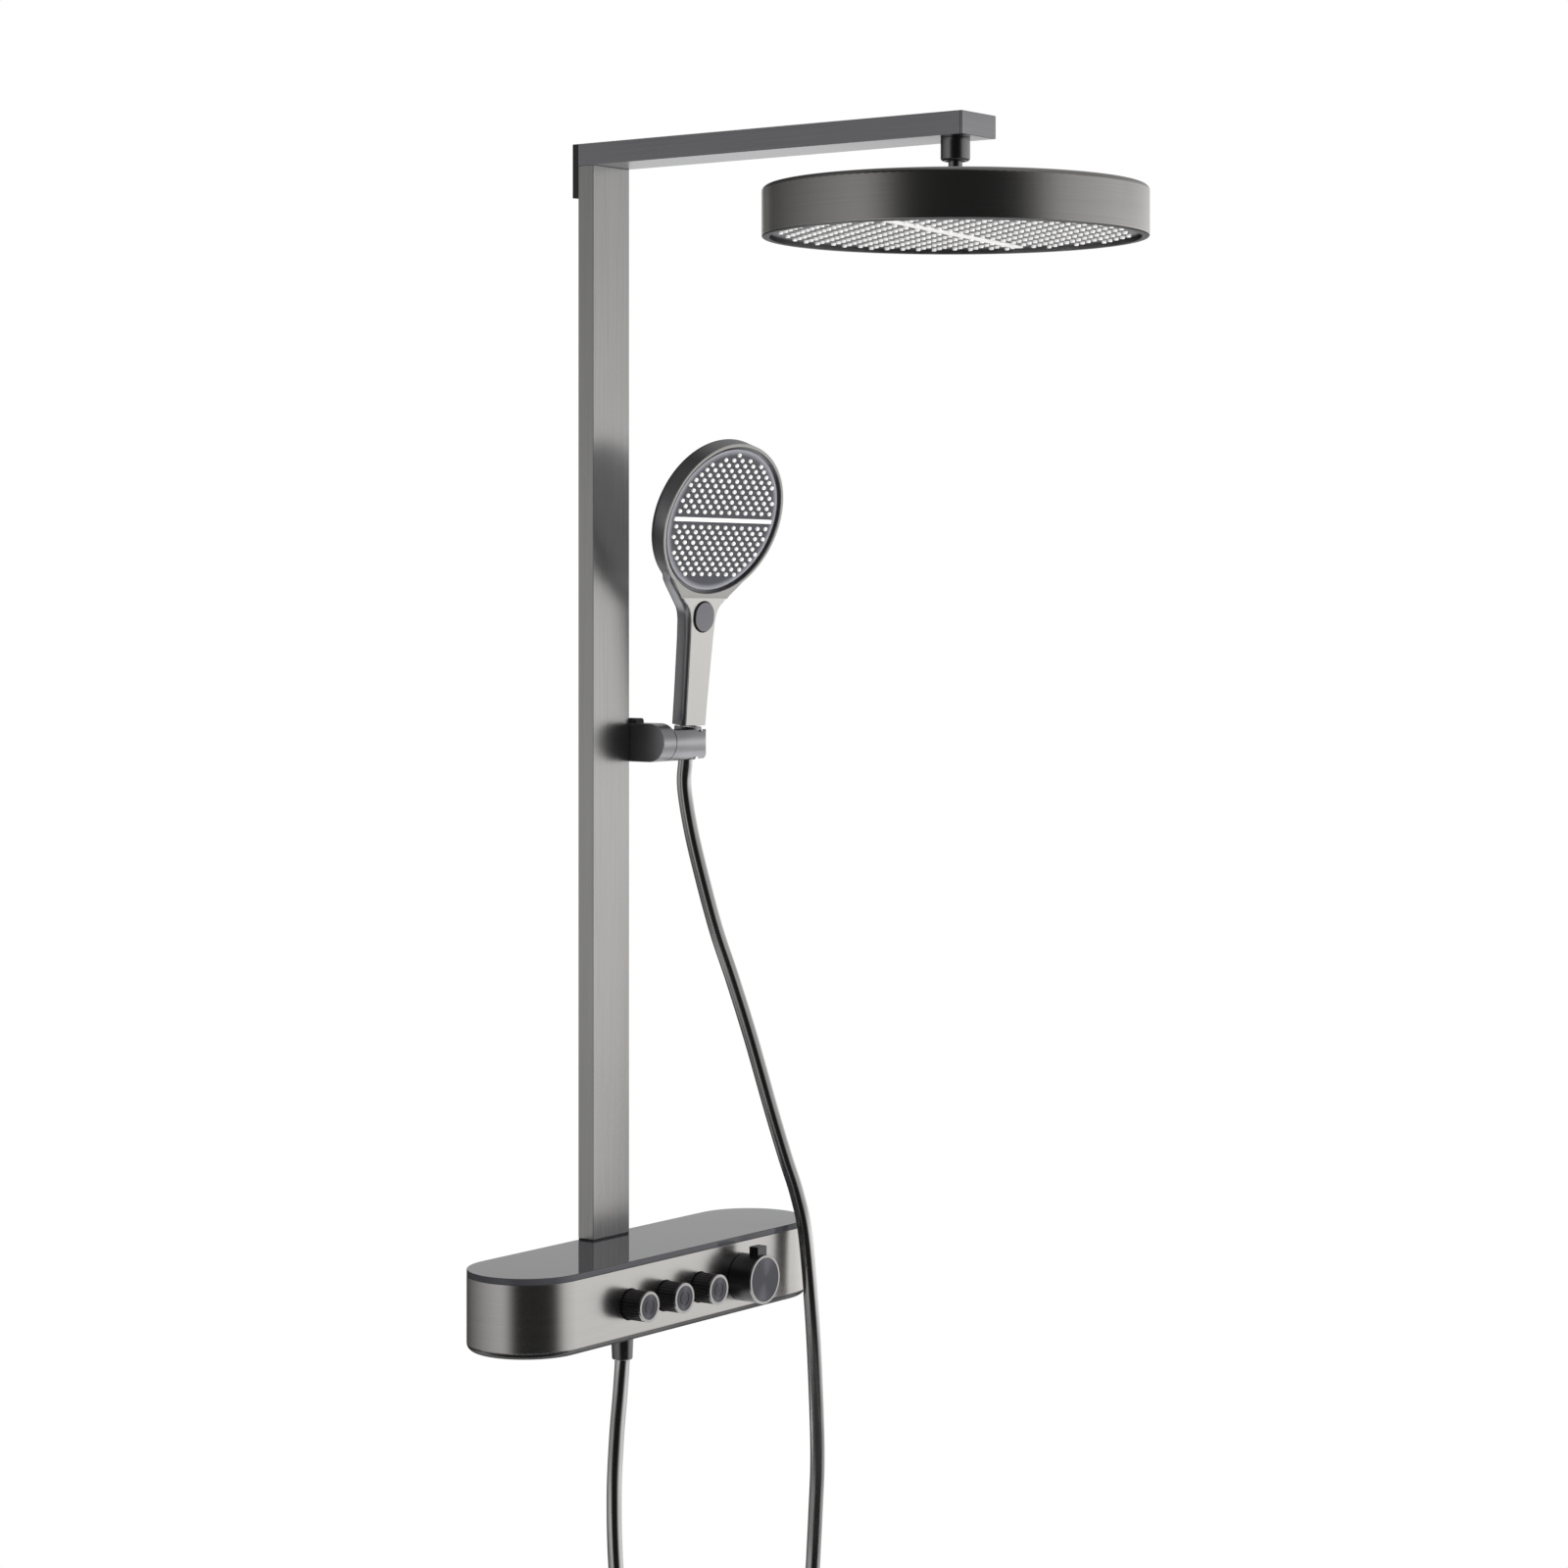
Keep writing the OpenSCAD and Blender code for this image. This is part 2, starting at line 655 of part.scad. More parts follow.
// Pipe along the arm to the boss and spigot that feed the overhead shower.
module arm_water_pipe() {
    boss_r = 9;
    pipe_r = 4;
    pipe_bore = 2.5;
    inside_z = arm_bottom_z + tube_wall;
    spigot_z = arm_bottom_z - spigot_in;
    l = elbow_end_y - head_y;
    color("#c08457") difference() {
        union() {
            translate([0, elbow_end_y, arm_mid_z]) rod_y(pipe_r, l);
            translate([0, head_y, inside_z]) cylinder(r = boss_r, h = 12);
            translate([0, head_y, spigot_z]) cylinder(r = spigot_r, h = inside_z + 1 - spigot_z);
        }
        translate([0, elbow_end_y + 1, arm_mid_z]) rod_y(pipe_bore, l + 1);
        translate([0, head_y, spigot_z - 1]) cylinder(r = pipe_r, h = arm_mid_z - spigot_z);
    }
}

// ---------------------------------------------------------------- overhead shower

// Nut under the arm that holds the swivel ball in its seat.
module swivel_collar() {
    chamfer = 1.5;
    low = arm_bottom_z - collar_h;
    color("#6a6866") translate([0, head_y, 0]) difference() {
        union() {
            translate([0, 0, low + chamfer]) cylinder(r = collar_r, h = collar_h - chamfer);
            translate([0, 0, low]) cylinder(r1 = collar_r - chamfer, r2 = collar_r, h = chamfer);
        }
        translate([0, 0, low - 1]) cylinder(r = spigot_r + running, h = collar_h + 2);
        translate([0, 0, seat_low_z - 0.2]) cylinder(r = seat_r, h = seat_h + 0.4);
    }
}

// Slippery seat that turns in the collar and holds the ball.
module ball_seat() {
    mouth_r = 7;
    color("#e6e2d8") translate([0, head_y, 0]) difference() {
        translate([0, 0, seat_low_z]) cylinder(r = seat_r - running, h = seat_h);
        translate([0, 0, ball_z]) sphere(r = ball_r + running);
        translate([0, 0, seat_low_z - 1]) cylinder(r = mouth_r, h = seat_h + 2);
    }
}

// Swivel ball, neck and flange of the overhead shower, bored for the water.
module ball_neck() {
    flange_r = 12;
    flange_t = 5;
    tail_l = 9;
    color("#8b8987") translate([0, head_y, 0]) difference() {
        union() {
            translate([0, 0, ball_z]) sphere(r = ball_r);
            translate([0, 0, head_top_z]) cylinder(r = neck_r, h = ball_z - ball_r / 2 - head_top_z);
            translate([0, 0, head_top_z]) cylinder(r = flange_r, h = flange_t);
            translate([0, 0, head_top_z - tail_l]) cylinder(r = tail_r, h = tail_l + 1);
        }
        translate([0, 0, head_top_z - tail_l - 1]) cylinder(r = 3, h = 60);
    }
}

// Drum of the overhead shower, closed on top, open below, with an inner ledge.
module head_shell() {
    soft = 4;
    low = 1.5;
    ledge_z = plate_recess + plate_t;
    roof_z = head_h - head_wall;
    color("#4a4846") translate([0, head_y, head_bottom_z]) difference() {
        rotate_extrude($fn = 160) difference() {
            union() {
                square([head_r - soft, head_h]);
                translate([0, low]) square([head_r, head_h - soft - low]);
                square([head_r - low, head_h - soft]);
                translate([head_r - soft, head_h - soft]) intersection() {
                    circle(soft);
                    square(soft);
                }
                translate([head_r - low, low]) circle(low);
            }
            translate([-1, -1]) square([plate_r + 1.1, ledge_z + 1]);
            translate([-1, 0]) square([plate_r - ledge_w + 1, roof_z]);
            translate([-1, ledge_z + ledge_t])
                square([head_r - head_wall + 1, roof_z - ledge_z - ledge_t]);
        }
        translate([0, 0, head_h - head_wall - 1]) cylinder(r = tail_r + running, h = head_wall + 2);
    }
}

module head_spray_plate() {
    color("#57575b") translate([0, head_y, plate_z]) cylinder(r = plate_r, h = plate_t, $fn = 160);
}

// Staggered field of soft nozzles: rows above and below its middle, from the first on.
module nozzle_field(radius, along, across, first, lowest, r, h) {
    rows = ceil(radius / across);
    cols = ceil(radius / along) + 1;
    for (side = [-1, 1]) for (j = [0:rows]) for (i = [-cols:cols]) {
        x = (i + (1 - j % 2) / 2) * along;
        y = side * (first + j * across);
        if (norm([x, y]) < radius && y > lowest)
            translate([x, y, 0]) cylinder(r = r, h = h, $fn = 16);
    }
}

module head_nozzles() {
    nozzle_r = 2;
    nozzle_h = 2.8;
    border = 8;
    diagonal = head_nozzle_pitch * sqrt(2);
    color("#ecebe8") translate([0, head_y, plate_z - nozzle_h]) rotate([0, 0, head_turn])
        nozzle_field(plate_r - border, diagonal, diagonal / 2, diagonal / 2, -plate_r,
            nozzle_r, nozzle_h);
}

// Long slotted strip for the cascade, across the middle of the drum.
module head_waterfall_strip() {
    strip_t = 1.6;
    color("#f2f1ee") translate([0, head_y, plate_z - strip_t]) rotate([0, 0, head_turn])
        linear_extrude(strip_t) stadium(strip_l, strip_w);
}

// ---------------------------------------------------------------- knobs

// Spindle of a flow cartridge, tapped at its tip.
module flow_stem(i) {
    color("#c9c7c2") translate([flow_x(i), stem_start_y, 0]) difference() {
        rod_y(stem_r, flow_stem_l);
        translate([0, 8 - flow_stem_l, 0]) rod_y(1.5, 10);
    }
}

// Ribbed knob that turns for flow and is pushed to switch its outlet.
module flow_knob(i) {
    l = flow_knob_l + flow_knob_in;
    rim_t = 1.8;
    rib_r = 0.75;
    body_r = flow_knob_d / 2 - 0.55;
    hub_r = 6.5;
    cavity_r = 9.5;
    color("#2b2b2d") translate([flow_x(i), flow_knob_back, 0]) rotate([90, 0, 0]) difference() {
        union() {
            cylinder(r = body_r, h = l - rim_t);
            translate([0, 0, l - rim_t]) cylinder(r = flow_knob_d / 2, h = rim_t);
            for (k = [1:flow_ribs]) rotate([0, 0, k * 360 / flow_ribs])
                translate([body_r - 0.3, 0, 3]) cylinder(r = rib_r, h = l - 4);
        }
        translate([0, 0, -1]) cylinder(r = stem_r + running, h = 14);
        translate([0, 0, l - cap_recess]) cylinder(r = flow_cap_r + 0.1, h = 3);
        translate([0, 0, -1]) difference() {
            cylinder(r = cavity_r, h = 10);
            cylinder(r = hub_r, h = 10);
        }
    }
}

// Cap set in the knob's end, with one plain ring groove and left bare.
module flow_cap(i) {
    cap_h = 0.8;
    groove_r = 5.6;
    groove_w = 0.8;
    color("#6a696f") translate([flow_x(i), shelf_front_y - flow_knob_l + cap_recess, 0])
        rotate([90, 0, 0]) difference() {
            cylinder(r = flow_cap_r, h = cap_h);
            translate([0, 0, cap_h - 0.3]) ring(groove_r, groove_r - groove_w, 1);
        }
}

module temperature_stem() {
    color("#c9c7c2") translate([temperature_x, stem_start_y, 0]) rod_y(stem_r, temperature_stem_l);
}

// Temperature knob with the small lever that shows its setting.
module temperature_knob() {
    l = temperature_knob_l - temperature_gap;
    r = temperature_knob_d / 2;
    rim_t = 1.6;
    hub_r = stem_r + 4;
    lever = [12, 10, 9];
    color("#2b2b2d") translate([temperature_x, shelf_front_y - temperature_gap, 0])
        rotate([90, 0, 0]) difference() {
            union() {
                cylinder(r = r - 0.5, h = l - rim_t);
                translate([0, 0, l - rim_t]) cylinder(r = r, h = rim_t);
                translate([-lever.x / 2, r - 3, l - lever.z - 3]) cube(lever);
            }
            translate([0, 0, -1]) cylinder(r = stem_r + running, h = l - 6);
            translate([0, 0, -1]) ring(r - 3.5, hub_r, l - 8);
            translate([0, 0, l - cap_recess]) cylinder(r = temperature_cap_r + 0.1, h = 3);
        }
}

module temperature_cap() {
    color("#6b6a70") translate([temperature_x, shelf_front_y - temperature_knob_l + cap_recess, 0])
        rotate([90, 0, 0]) cylinder(r = temperature_cap_r, h = 0.8);
}

// ---------------------------------------------------------------- holder

// Round-nosed block beside the column, with the bore for the cradle's pivot.
module holder_arm() {
    l = holder_x1 - holder_x0;
    color("#3c3c3e") translate([holder_x0, pivot_y, pivot_z]) difference() {
        union() {
            rotate([0, 90, 0]) cylinder(r = holder_r, h = l);
            translate([0, 0, -holder_r]) cube([l, holder_back, 2 * holder_r]);
        }
        translate([screw_in, 0, 0]) rotate([0, 90, 0]) cylinder(r = pivot_r + running, h = l);
        translate([tab_x - seat_gap, tab_y - seat_gap, holder_r - 8])
            cube([tab.x + 2 * seat_gap, tab.y + 2 * seat_gap, 10]);
    }
}

// T-shaped foot that slides in the column's side track.
module holder_foot() {
    plate = [2, 11, 28];
    neck_h = 26;
    inner_x = column_w / 2 - tube_wall - seat_gap;
    color("#d0cec6") translate([0, column_mid_y, pivot_z]) {
        translate([inner_x - plate.x, -plate.y / 2, -plate.z / 2]) cube(plate);
        translate([inner_x - 0.2, -slot_w / 2, -neck_h / 2])
            cube([holder_x0 - inner_x + 0.2, slot_w, neck_h]);
    }
}

// Shouldered screw on which the cradle tilts, put in from inside the cradle's socket.
module pivot_screw() {
    head_t = 3.4;
    low = holder_x0 + screw_in + seat_gap;
    head_x = screw_head_x + seat_gap;
    color("#c9c7c2") translate([0, pivot_y, pivot_z]) rotate([0, 90, 0]) difference() {
        union() {
            translate([0, 0, low]) cylinder(r = pivot_r, h = head_x + 1 - low);
            translate([0, 0, head_x]) cylinder(r = screw_head_r, h = head_t);
        }
        translate([0, 0, head_x + head_t - 2.5]) cylinder(r = 1.8, h = 3, $fn = 6);
    }
}

// Tab on top of the holder, pressed down to free the slide.
module release_tab() {
    color("#232325") translate([holder_x0 + tab_x, pivot_y + tab_y, pivot_z + holder_r - 4.5])
        difference() {
            cube(tab);
            translate([-1, 0, tab.z]) rotate([0, 90, 0]) cylinder(r = 1.2, h = tab.x + 2);
        }
}

// Cradle: a barrel across the pivot whose outer end is rounded about the handle
// and split towards +X, so the hose can be slipped in.
module cradle() {
    l = grip_x - cradle_x0 + holder_r;
    color("#8d8d90") difference() {
        intersection() {
            translate([cradle_x0, pivot_y, pivot_z]) rotate([0, 90, 0]) cylinder(r = holder_r, h = l);
            translate([0, 0, pivot_z - holder_r]) linear_extrude(holder_r + cradle_flat) {
                translate([grip_x, pivot_y]) circle(r = holder_r);
                translate([cradle_x0, pivot_y - holder_r])
                    square([grip_x - cradle_x0, 2 * holder_r]);
            }
        }
        translate([cradle_x0 - 1, pivot_y, pivot_z]) rotate([0, 90, 0])
            cylinder(r = pivot_r + running, h = screw_head_x + 2 - cradle_x0);
        translate([screw_head_x, pivot_y, pivot_z]) rotate([0, 90, 0])
            cylinder(r = screw_head_r + seat_gap, h = 12);
        grip_place() {
            translate([0, 0, -20]) cylinder(r = socket_tip_r + liner_t, h = 9);
            translate([0, 0, socket_low]) cylinder(r1 = socket_tip_r + liner_t,
                r2 = socket_top_r + liner_t, h = socket_h);
            translate([0, 0, socket_low + socket_h - 0.01])
                cylinder(r = socket_top_r + liner_t, h = 10);
            hose_slot();
        }
    }
}

// Plastic liner of the socket, split like the cradle.
module cradle_liner() {
    color("#cfcdc6") grip_place() difference() {
        translate([0, 0, socket_low]) cylinder(r1 = socket_tip_r + liner_t - running,
            r2 = socket_top_r + liner_t - running, h = socket_h);
        translate([0, 0, socket_low - 0.01])
            cylinder(r1 = socket_tip_r, r2 = socket_top_r, h = socket_h + 0.02);
        hose_slot();
    }
}

// Slot through the socket's right wall that lets the hose in.
module hose_slot() {
    w = 2 * hose_r + 1.2;
    translate([0, -w / 2, -30]) cube([30, w, 60]);
}

// Cone nut on the hose: it seats in the cradle and swivels under the handle.
module upper_hose_nut() {
    bore = hose_r + 0.9;
    tip_z = socket_low - 3;
    top_z = handle_foot - 1.4;
    color("#9b9996") grip_place() rotate_extrude() polygon([
        [bore, tip_z], [socket_tip_r - 1.4, tip_z], [socket_tip_r - seat_gap, socket_low],
        [socket_top_r - seat_gap, socket_low + socket_h], [socket_top_r - seat_gap, top_z],
        [bore, top_z]
    ]);
}

// ---------------------------------------------------------------- hand shower

// Section of the handle: a rounded oblong, half_w by half_d.
function handle_section(half_w, half_d, count) = [
    for (k = [0:count - 1])
        let (a = k * 360 / count, c = cos(a), s = sin(a), p = 0.5)
        [half_w * sign(c) * pow(abs(c), p), half_d * sign(s) * pow(abs(s), p)]
];

// Solid through the handle's sections.
module handle_loft() {
    count = 48;
    rings = [for (h = HANDLE)
        [for (p = handle_section(h[1], handle_half_d, count)) [p[0], p[1] - h[2], h[0]]]];
    last = len(HANDLE) - 1;
    points = [for (one = rings) each one];
    walls = [for (k = [0:last - 1]) for (j = [0:count - 1])
        let (n = (j + 1) % count, a = k * count, b = a + count)
        [a + j, b + j, b + n, a + n]];
    polyhedron(points, concat([[for (j = [0:count - 1]) j]], walls,
        [[for (j = [count - 1:-1:0]) last * count + j]]));
}

// Place in front of the handle's axis of the face's plane, at a point along the handle.
function face_y(along, depth) = depth / cos(face_angle) - face_ahead
    - (along - face_along) * tan(face_angle);

// Place along the handle where its front meets the face's plane.
function face_bend(depth) = face_along
    + (handle_half_d - face_ahead + depth * (1 / cos(face_angle) - 1)) / tan(face_angle);

// Half width of the handle where the front's back face cuts it.
function front_w(h) =
    let (y = min(front_t - handle_half_d, face_y(h[0], front_t)) + h[2])
    h[1] * pow(1 - pow(y / handle_half_d, 4), 0.25);

// Outline of the handle's front panel, up to the bend.
module panel_outline() {
    rows = [for (h = HANDLE) if (h[0] < face_bend(0)) h];
    polygon(concat(
        [for (h = rows) [front_w(h), h[0]]],
        [[flare_w, face_bend(0) + 1], [-flare_w, face_bend(0) + 1]],
        [for (k = [len(rows) - 1:-1:0]) [-front_w(rows[k]), rows[k][0]]]));
}

// Face outline: the disc with the flare that runs into the handle.
module face_outline() {
    rows = [for (h = HANDLE) if (h[0] > face_bend(0)) h];
    low = (face_bend(0) - 1 - face_along) / cos(face_angle);
    function up(h) = (h[0] - face_along) / cos(face_angle);
    circle(r = face_r);
    polygon(concat(
        [[flare_w, low]], [for (h = rows) [front_w(h), up(h)]],
        [for (k = [len(rows) - 1:-1:0]) [-front_w(rows[k]), up(rows[k])]], [[-flare_w, low]]));
}

// Everything in front of a surface that lies a depth behind the hand shower's front.
module front_space(depth) {
    reach = 80;
    top = face_along + face_r + 10;
    rotate([90, 0, 90]) linear_extrude(3 * face_r, center = true) polygon([
        [depth - handle_half_d, -1], [depth - handle_half_d, face_bend(depth)],
        [face_y(top, depth), top], [-reach, top], [-reach, -1]
    ]);
}

// Upright oval of the mode button, grown by a clearance.
module button_outline(grow) {
    r = 10.8 + grow;
    rise = 1.6;
    for (side = [-1, 1]) translate([0, side * rise]) circle(r);
    square([2 * r, 2 * rise], center = true);
}

// Dark back shell: handle, flared neck and drum.
module handset_body() {
    back_soft = 7;
    color("#3c3c3e") handset_place() difference() {
        union() {
            handle_loft();
            face_place() translate([0, 0, -face_t]) rotate_extrude($fn = 96) {
                square([face_r - back_soft, face_t]);
                translate([0, back_soft]) square([face_r, face_t - back_soft]);
                translate([face_r - back_soft, back_soft]) circle(back_soft);
            }
        }
        front_space(front_t);
        face_place() translate([0, 0, spray_z]) cylinder(r = face_r - ring_w, h = 20, $fn = 96);
        translate([0, button_bottom_y, button_along]) rotate([90, 0, 0]) linear_extrude(20)
            button_outline(button_gap);
        translate([0, 0, handle_foot - 1]) cylinder(r = hose_r + 1.2, h = 42);
    }
}

// Light front: the face ring and the handle's front panel.
module handset_front() {
    color("#b9b7b2") handset_place() difference() {
        union() {
            translate([0, 2 * front_t - handle_half_d, 0]) rotate([90, 0, 0])
                linear_extrude(3 * front_t) panel_outline();
            face_place() translate([0, 0, -2 * front_t]) linear_extrude(3 * front_t) face_outline();
        }
        front_space(0);
        difference() {
            translate([-face_r - 5, -2 * face_r, 0]) cube([2 * face_r + 10, 3 * face_r, 4 * face_r]);
            front_space(front_t);
        }
        face_place() translate([0, 0, -20]) cylinder(r = face_r - ring_w, h = 30);
        translate([0, button_bottom_y, button_along]) rotate([90, 0, 0]) linear_extrude(20)
            button_outline(button_gap);
    }
}

module handset_spray_plate() {
    color("#6f6f76") handset_place() face_place() translate([0, 0, spray_z])
        cylinder(r = spray_r, h = spray_t);
}

module handset_nozzles() {
    nozzle_r = 1.5;
    nozzle_h = 1.8;
    first_row = 6.6;
    row_pitch = 4.56;
    lowest = -50;
    color("#f2f1ee") handset_place() face_place() translate([0, 0, spray_z + spray_t])
        nozzle_field(face_r - 10.2, face_nozzle_pitch, row_pitch, first_row, lowest,
            nozzle_r, nozzle_h);
}

module handset_jet_strip() {
    strip = [2 * (face_r - 10), 3.4, 1.6];
    color("#f6f5f2") handset_place() face_place()
        translate([-strip.x / 2, -strip.y / 2, spray_z + spray_t]) cube(strip);
}

// Mode button in the handle's front, pressed inwards.
module handset_button() {
    l = 5.2;
    proud = 1.8;
    color("#77767d") handset_place() translate([0, l - proud - handle_half_d, button_along])
        rotate([90, 0, 0]) linear_extrude(l) button_outline(0);
}

// Threaded tail inside the handle that the hose screws to.
module handset_connector() {
    color("#c9c7c2") handset_place() translate([0, 0, handle_foot + 0.6])
        ring(hose_r + 1.15, hose_r + 0.4, 38);
}

// ---------------------------------------------------------------- all nodes

shelf_shell();
shelf_glass();
glass_tray();
valve_body();
thermostatic_cartridge();
flow_cartridge(1);  // flow_cartridge_1
flow_cartridge(2);  // flow_cartridge_2
flow_cartridge(3);  // flow_cartridge_3
inlet_unions();
union_nuts();
wall_flanges();
hose_outlet_nipple();
lower_hose_nut();
hose();
column_tube();
column_gasket();
riser_tube();
column_foot();
wall_bracket();
arm_grub_screws();
arm_tube();
arm_end_cap();
arm_elbow();
arm_water_pipe();
swivel_collar();
ball_seat();
ball_neck();
head_shell();
head_spray_plate();
head_nozzles();
head_waterfall_strip();
flow_stem(1);  // flow_stem_1
flow_stem(2);  // flow_stem_2
flow_stem(3);  // flow_stem_3
flow_knob(1);  // flow_knob_1
flow_knob(2);  // flow_knob_2
flow_knob(3);  // flow_knob_3
flow_cap(1);  // flow_cap_1
flow_cap(2);  // flow_cap_2
flow_cap(3);  // flow_cap_3
temperature_stem();
temperature_knob();
temperature_cap();
holder_arm();
holder_foot();
pivot_screw();
release_tab();
cradle();
cradle_liner();
upper_hose_nut();
handset_body();
handset_front();
handset_spray_plate();
handset_nozzles();
handset_jet_strip();
handset_button();
handset_connector();
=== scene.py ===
"""Looks of a wall-held rainfall shower column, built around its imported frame.

Lengths are in metres, in the frame's own axes: +X right along the wall, +Y into the wall, +Z up.
"""

import json
import logging
import math
from collections.abc import Callable
from dataclasses import dataclass
from enum import Enum

import bmesh
import bpy
from mathutils import Matrix, Vector

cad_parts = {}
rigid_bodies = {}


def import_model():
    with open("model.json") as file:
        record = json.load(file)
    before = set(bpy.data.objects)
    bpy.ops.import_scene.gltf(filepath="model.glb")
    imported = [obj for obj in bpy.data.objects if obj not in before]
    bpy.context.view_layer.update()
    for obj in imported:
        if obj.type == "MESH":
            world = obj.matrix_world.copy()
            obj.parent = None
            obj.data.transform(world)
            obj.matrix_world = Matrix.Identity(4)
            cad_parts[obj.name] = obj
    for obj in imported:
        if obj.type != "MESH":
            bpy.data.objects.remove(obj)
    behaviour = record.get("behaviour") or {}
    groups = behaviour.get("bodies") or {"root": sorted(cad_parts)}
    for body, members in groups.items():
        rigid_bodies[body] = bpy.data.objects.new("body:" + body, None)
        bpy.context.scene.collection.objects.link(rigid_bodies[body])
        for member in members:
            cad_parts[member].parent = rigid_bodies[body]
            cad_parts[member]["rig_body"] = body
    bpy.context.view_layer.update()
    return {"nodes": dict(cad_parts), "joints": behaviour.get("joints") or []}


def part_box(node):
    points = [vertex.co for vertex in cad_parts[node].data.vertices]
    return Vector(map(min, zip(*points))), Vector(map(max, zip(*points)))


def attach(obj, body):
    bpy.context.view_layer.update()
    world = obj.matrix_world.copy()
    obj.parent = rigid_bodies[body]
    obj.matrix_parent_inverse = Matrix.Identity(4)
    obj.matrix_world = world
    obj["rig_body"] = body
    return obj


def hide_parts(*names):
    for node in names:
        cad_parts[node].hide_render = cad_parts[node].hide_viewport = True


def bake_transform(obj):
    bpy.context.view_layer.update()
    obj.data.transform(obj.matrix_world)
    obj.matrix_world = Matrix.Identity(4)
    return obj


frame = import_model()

LOG = logging.getLogger("shower_column")
Point = tuple[float, float, float]
Colour = tuple[float, float, float]
FaceTest = Callable[[bmesh.types.BMFace], bool]

HEAD = "overhead_head"
HANDSET = "handset"

# The hose from the shelf's outlet down, round the loop and up into the cradle.
HOSE_ROUTE: list[Point] = [
    (-0.026, -0.055, -0.044), (-0.026, -0.055, -0.06), (-0.03, -0.056, -0.086),
    (-0.037, -0.058, -0.12), (-0.045, -0.062, -0.165), (-0.049, -0.067, -0.22),
    (-0.047, -0.073, -0.29), (-0.036, -0.08, -0.368), (-0.01, -0.088, -0.438),
    (0.03, -0.095, -0.48), (0.075, -0.1, -0.487), (0.118, -0.103, -0.458),
    (0.146, -0.105, -0.398), (0.16, -0.1068, -0.33), (0.164, -0.1083, -0.262),
    (0.164, -0.1112, -0.214), (0.162, -0.1148, -0.166), (0.1545, -0.1185, -0.107),
    (0.147, -0.12, -0.041), (0.1425, -0.1163, 0.026), (0.139, -0.1106, 0.059),
    (0.1323, -0.1027, 0.092), (0.1253, -0.0927, 0.133), (0.1153, -0.0797, 0.191),
    (0.1043, -0.0687, 0.241), (0.0933, -0.0597, 0.283), (0.0843, -0.0507, 0.33),
    (0.0783, -0.0437, 0.37), (0.075, -0.0396, 0.405), (0.075, -0.0409, 0.426),
    (0.075, -0.0425, 0.443), (0.075, -0.0436, 0.455),
]

# Softened edges: corners nearer than the distance become one, faces that meet flatter than the
# first angle are joined, and edges sharper than the second are rounded.
MERGE_DISTANCE = 1e-6
FLAT_ANGLE = math.radians(0.5)
EDGE_ANGLE = math.radians(40)


class Brushing(Enum):
    """Axes across which a metal's brush lines are fine; along the others they run on."""

    ALONG_Y = (0, 2)
    ALONG_Z = (0, 1)
    LEVEL = (2,)


def srgb(code: str) -> Colour:
    """Turns a display colour into the linear colour that a shader takes.

    Args:
        code: The colour as six hexadecimal digits.

    Returns:
        Red, green and blue, linear, from 0 to 1.
    """
    parts = [int(code[i:i + 2], 16) / 255 for i in (0, 2, 4)]
    return tuple(p / 12.92 if p <= 0.04045 else ((p + 0.055) / 1.055) ** 2.4 for p in parts)


# ------------------------------------------------------------------ shader helpers


class Value:
    """A number on a shader socket that takes part in arithmetic."""

    def __init__(self, paint: "Paint", socket: bpy.types.NodeSocket) -> None:
        """Keeps the socket and the material it belongs to."""
        self.paint = paint
        self.socket = socket

    def _math(self, operation: str, *terms: "Value | float") -> "Value":
        """Adds a Math node.

        Args:
            operation: The node's operation.
            terms: Its inputs, in order.

        Returns:
            The node's result.
        """
        node = self.paint.node("ShaderNodeMath", {"operation": operation}, dict(enumerate(terms)))
        return Value(self.paint, node.outputs[0])

    def __add__(self, other: "Value | float") -> "Value":
        """Sum."""
        return self._math("ADD", self, other)

    def __radd__(self, other: float) -> "Value":
        """Sum with the number first."""
        return self._math("ADD", other, self)

    def __rsub__(self, other: float) -> "Value":
        """Difference with the number first."""
        return self._math("SUBTRACT", other, self)

    def __mul__(self, other: "Value | float") -> "Value":
        """Product."""
        return self._math("MULTIPLY", self, other)

    def __truediv__(self, other: "Value | float") -> "Value":
        """Quotient."""
        return self._math("DIVIDE", self, other)

    def __pow__(self, other: float) -> "Value":
        """Power."""
        return self._math("POWER", self, other)

    def sine(self) -> "Value":
        """Sine of the value in radians."""
        return self._math("SINE", self)

    def exponent(self) -> "Value":
        """The number e raised to the value."""
        return self._math("EXPONENT", self)

    def root(self) -> "Value":
        """Square root."""
        return self._math("SQRT", self)

    def ramp(self, low: float, high: float) -> "Value":
        """Smooth step from zero to one.

        Args:
            low: Where it starts.
            high: Where it ends.

        Returns:
            The step.
        """
        node = self.paint.node(
            "ShaderNodeMapRange", {"interpolation_type": "SMOOTHSTEP"},
            {0: self, 1: low, 2: high, 3: 0.0, 4: 1.0},
        )
        return Value(self.paint, node.outputs[0])


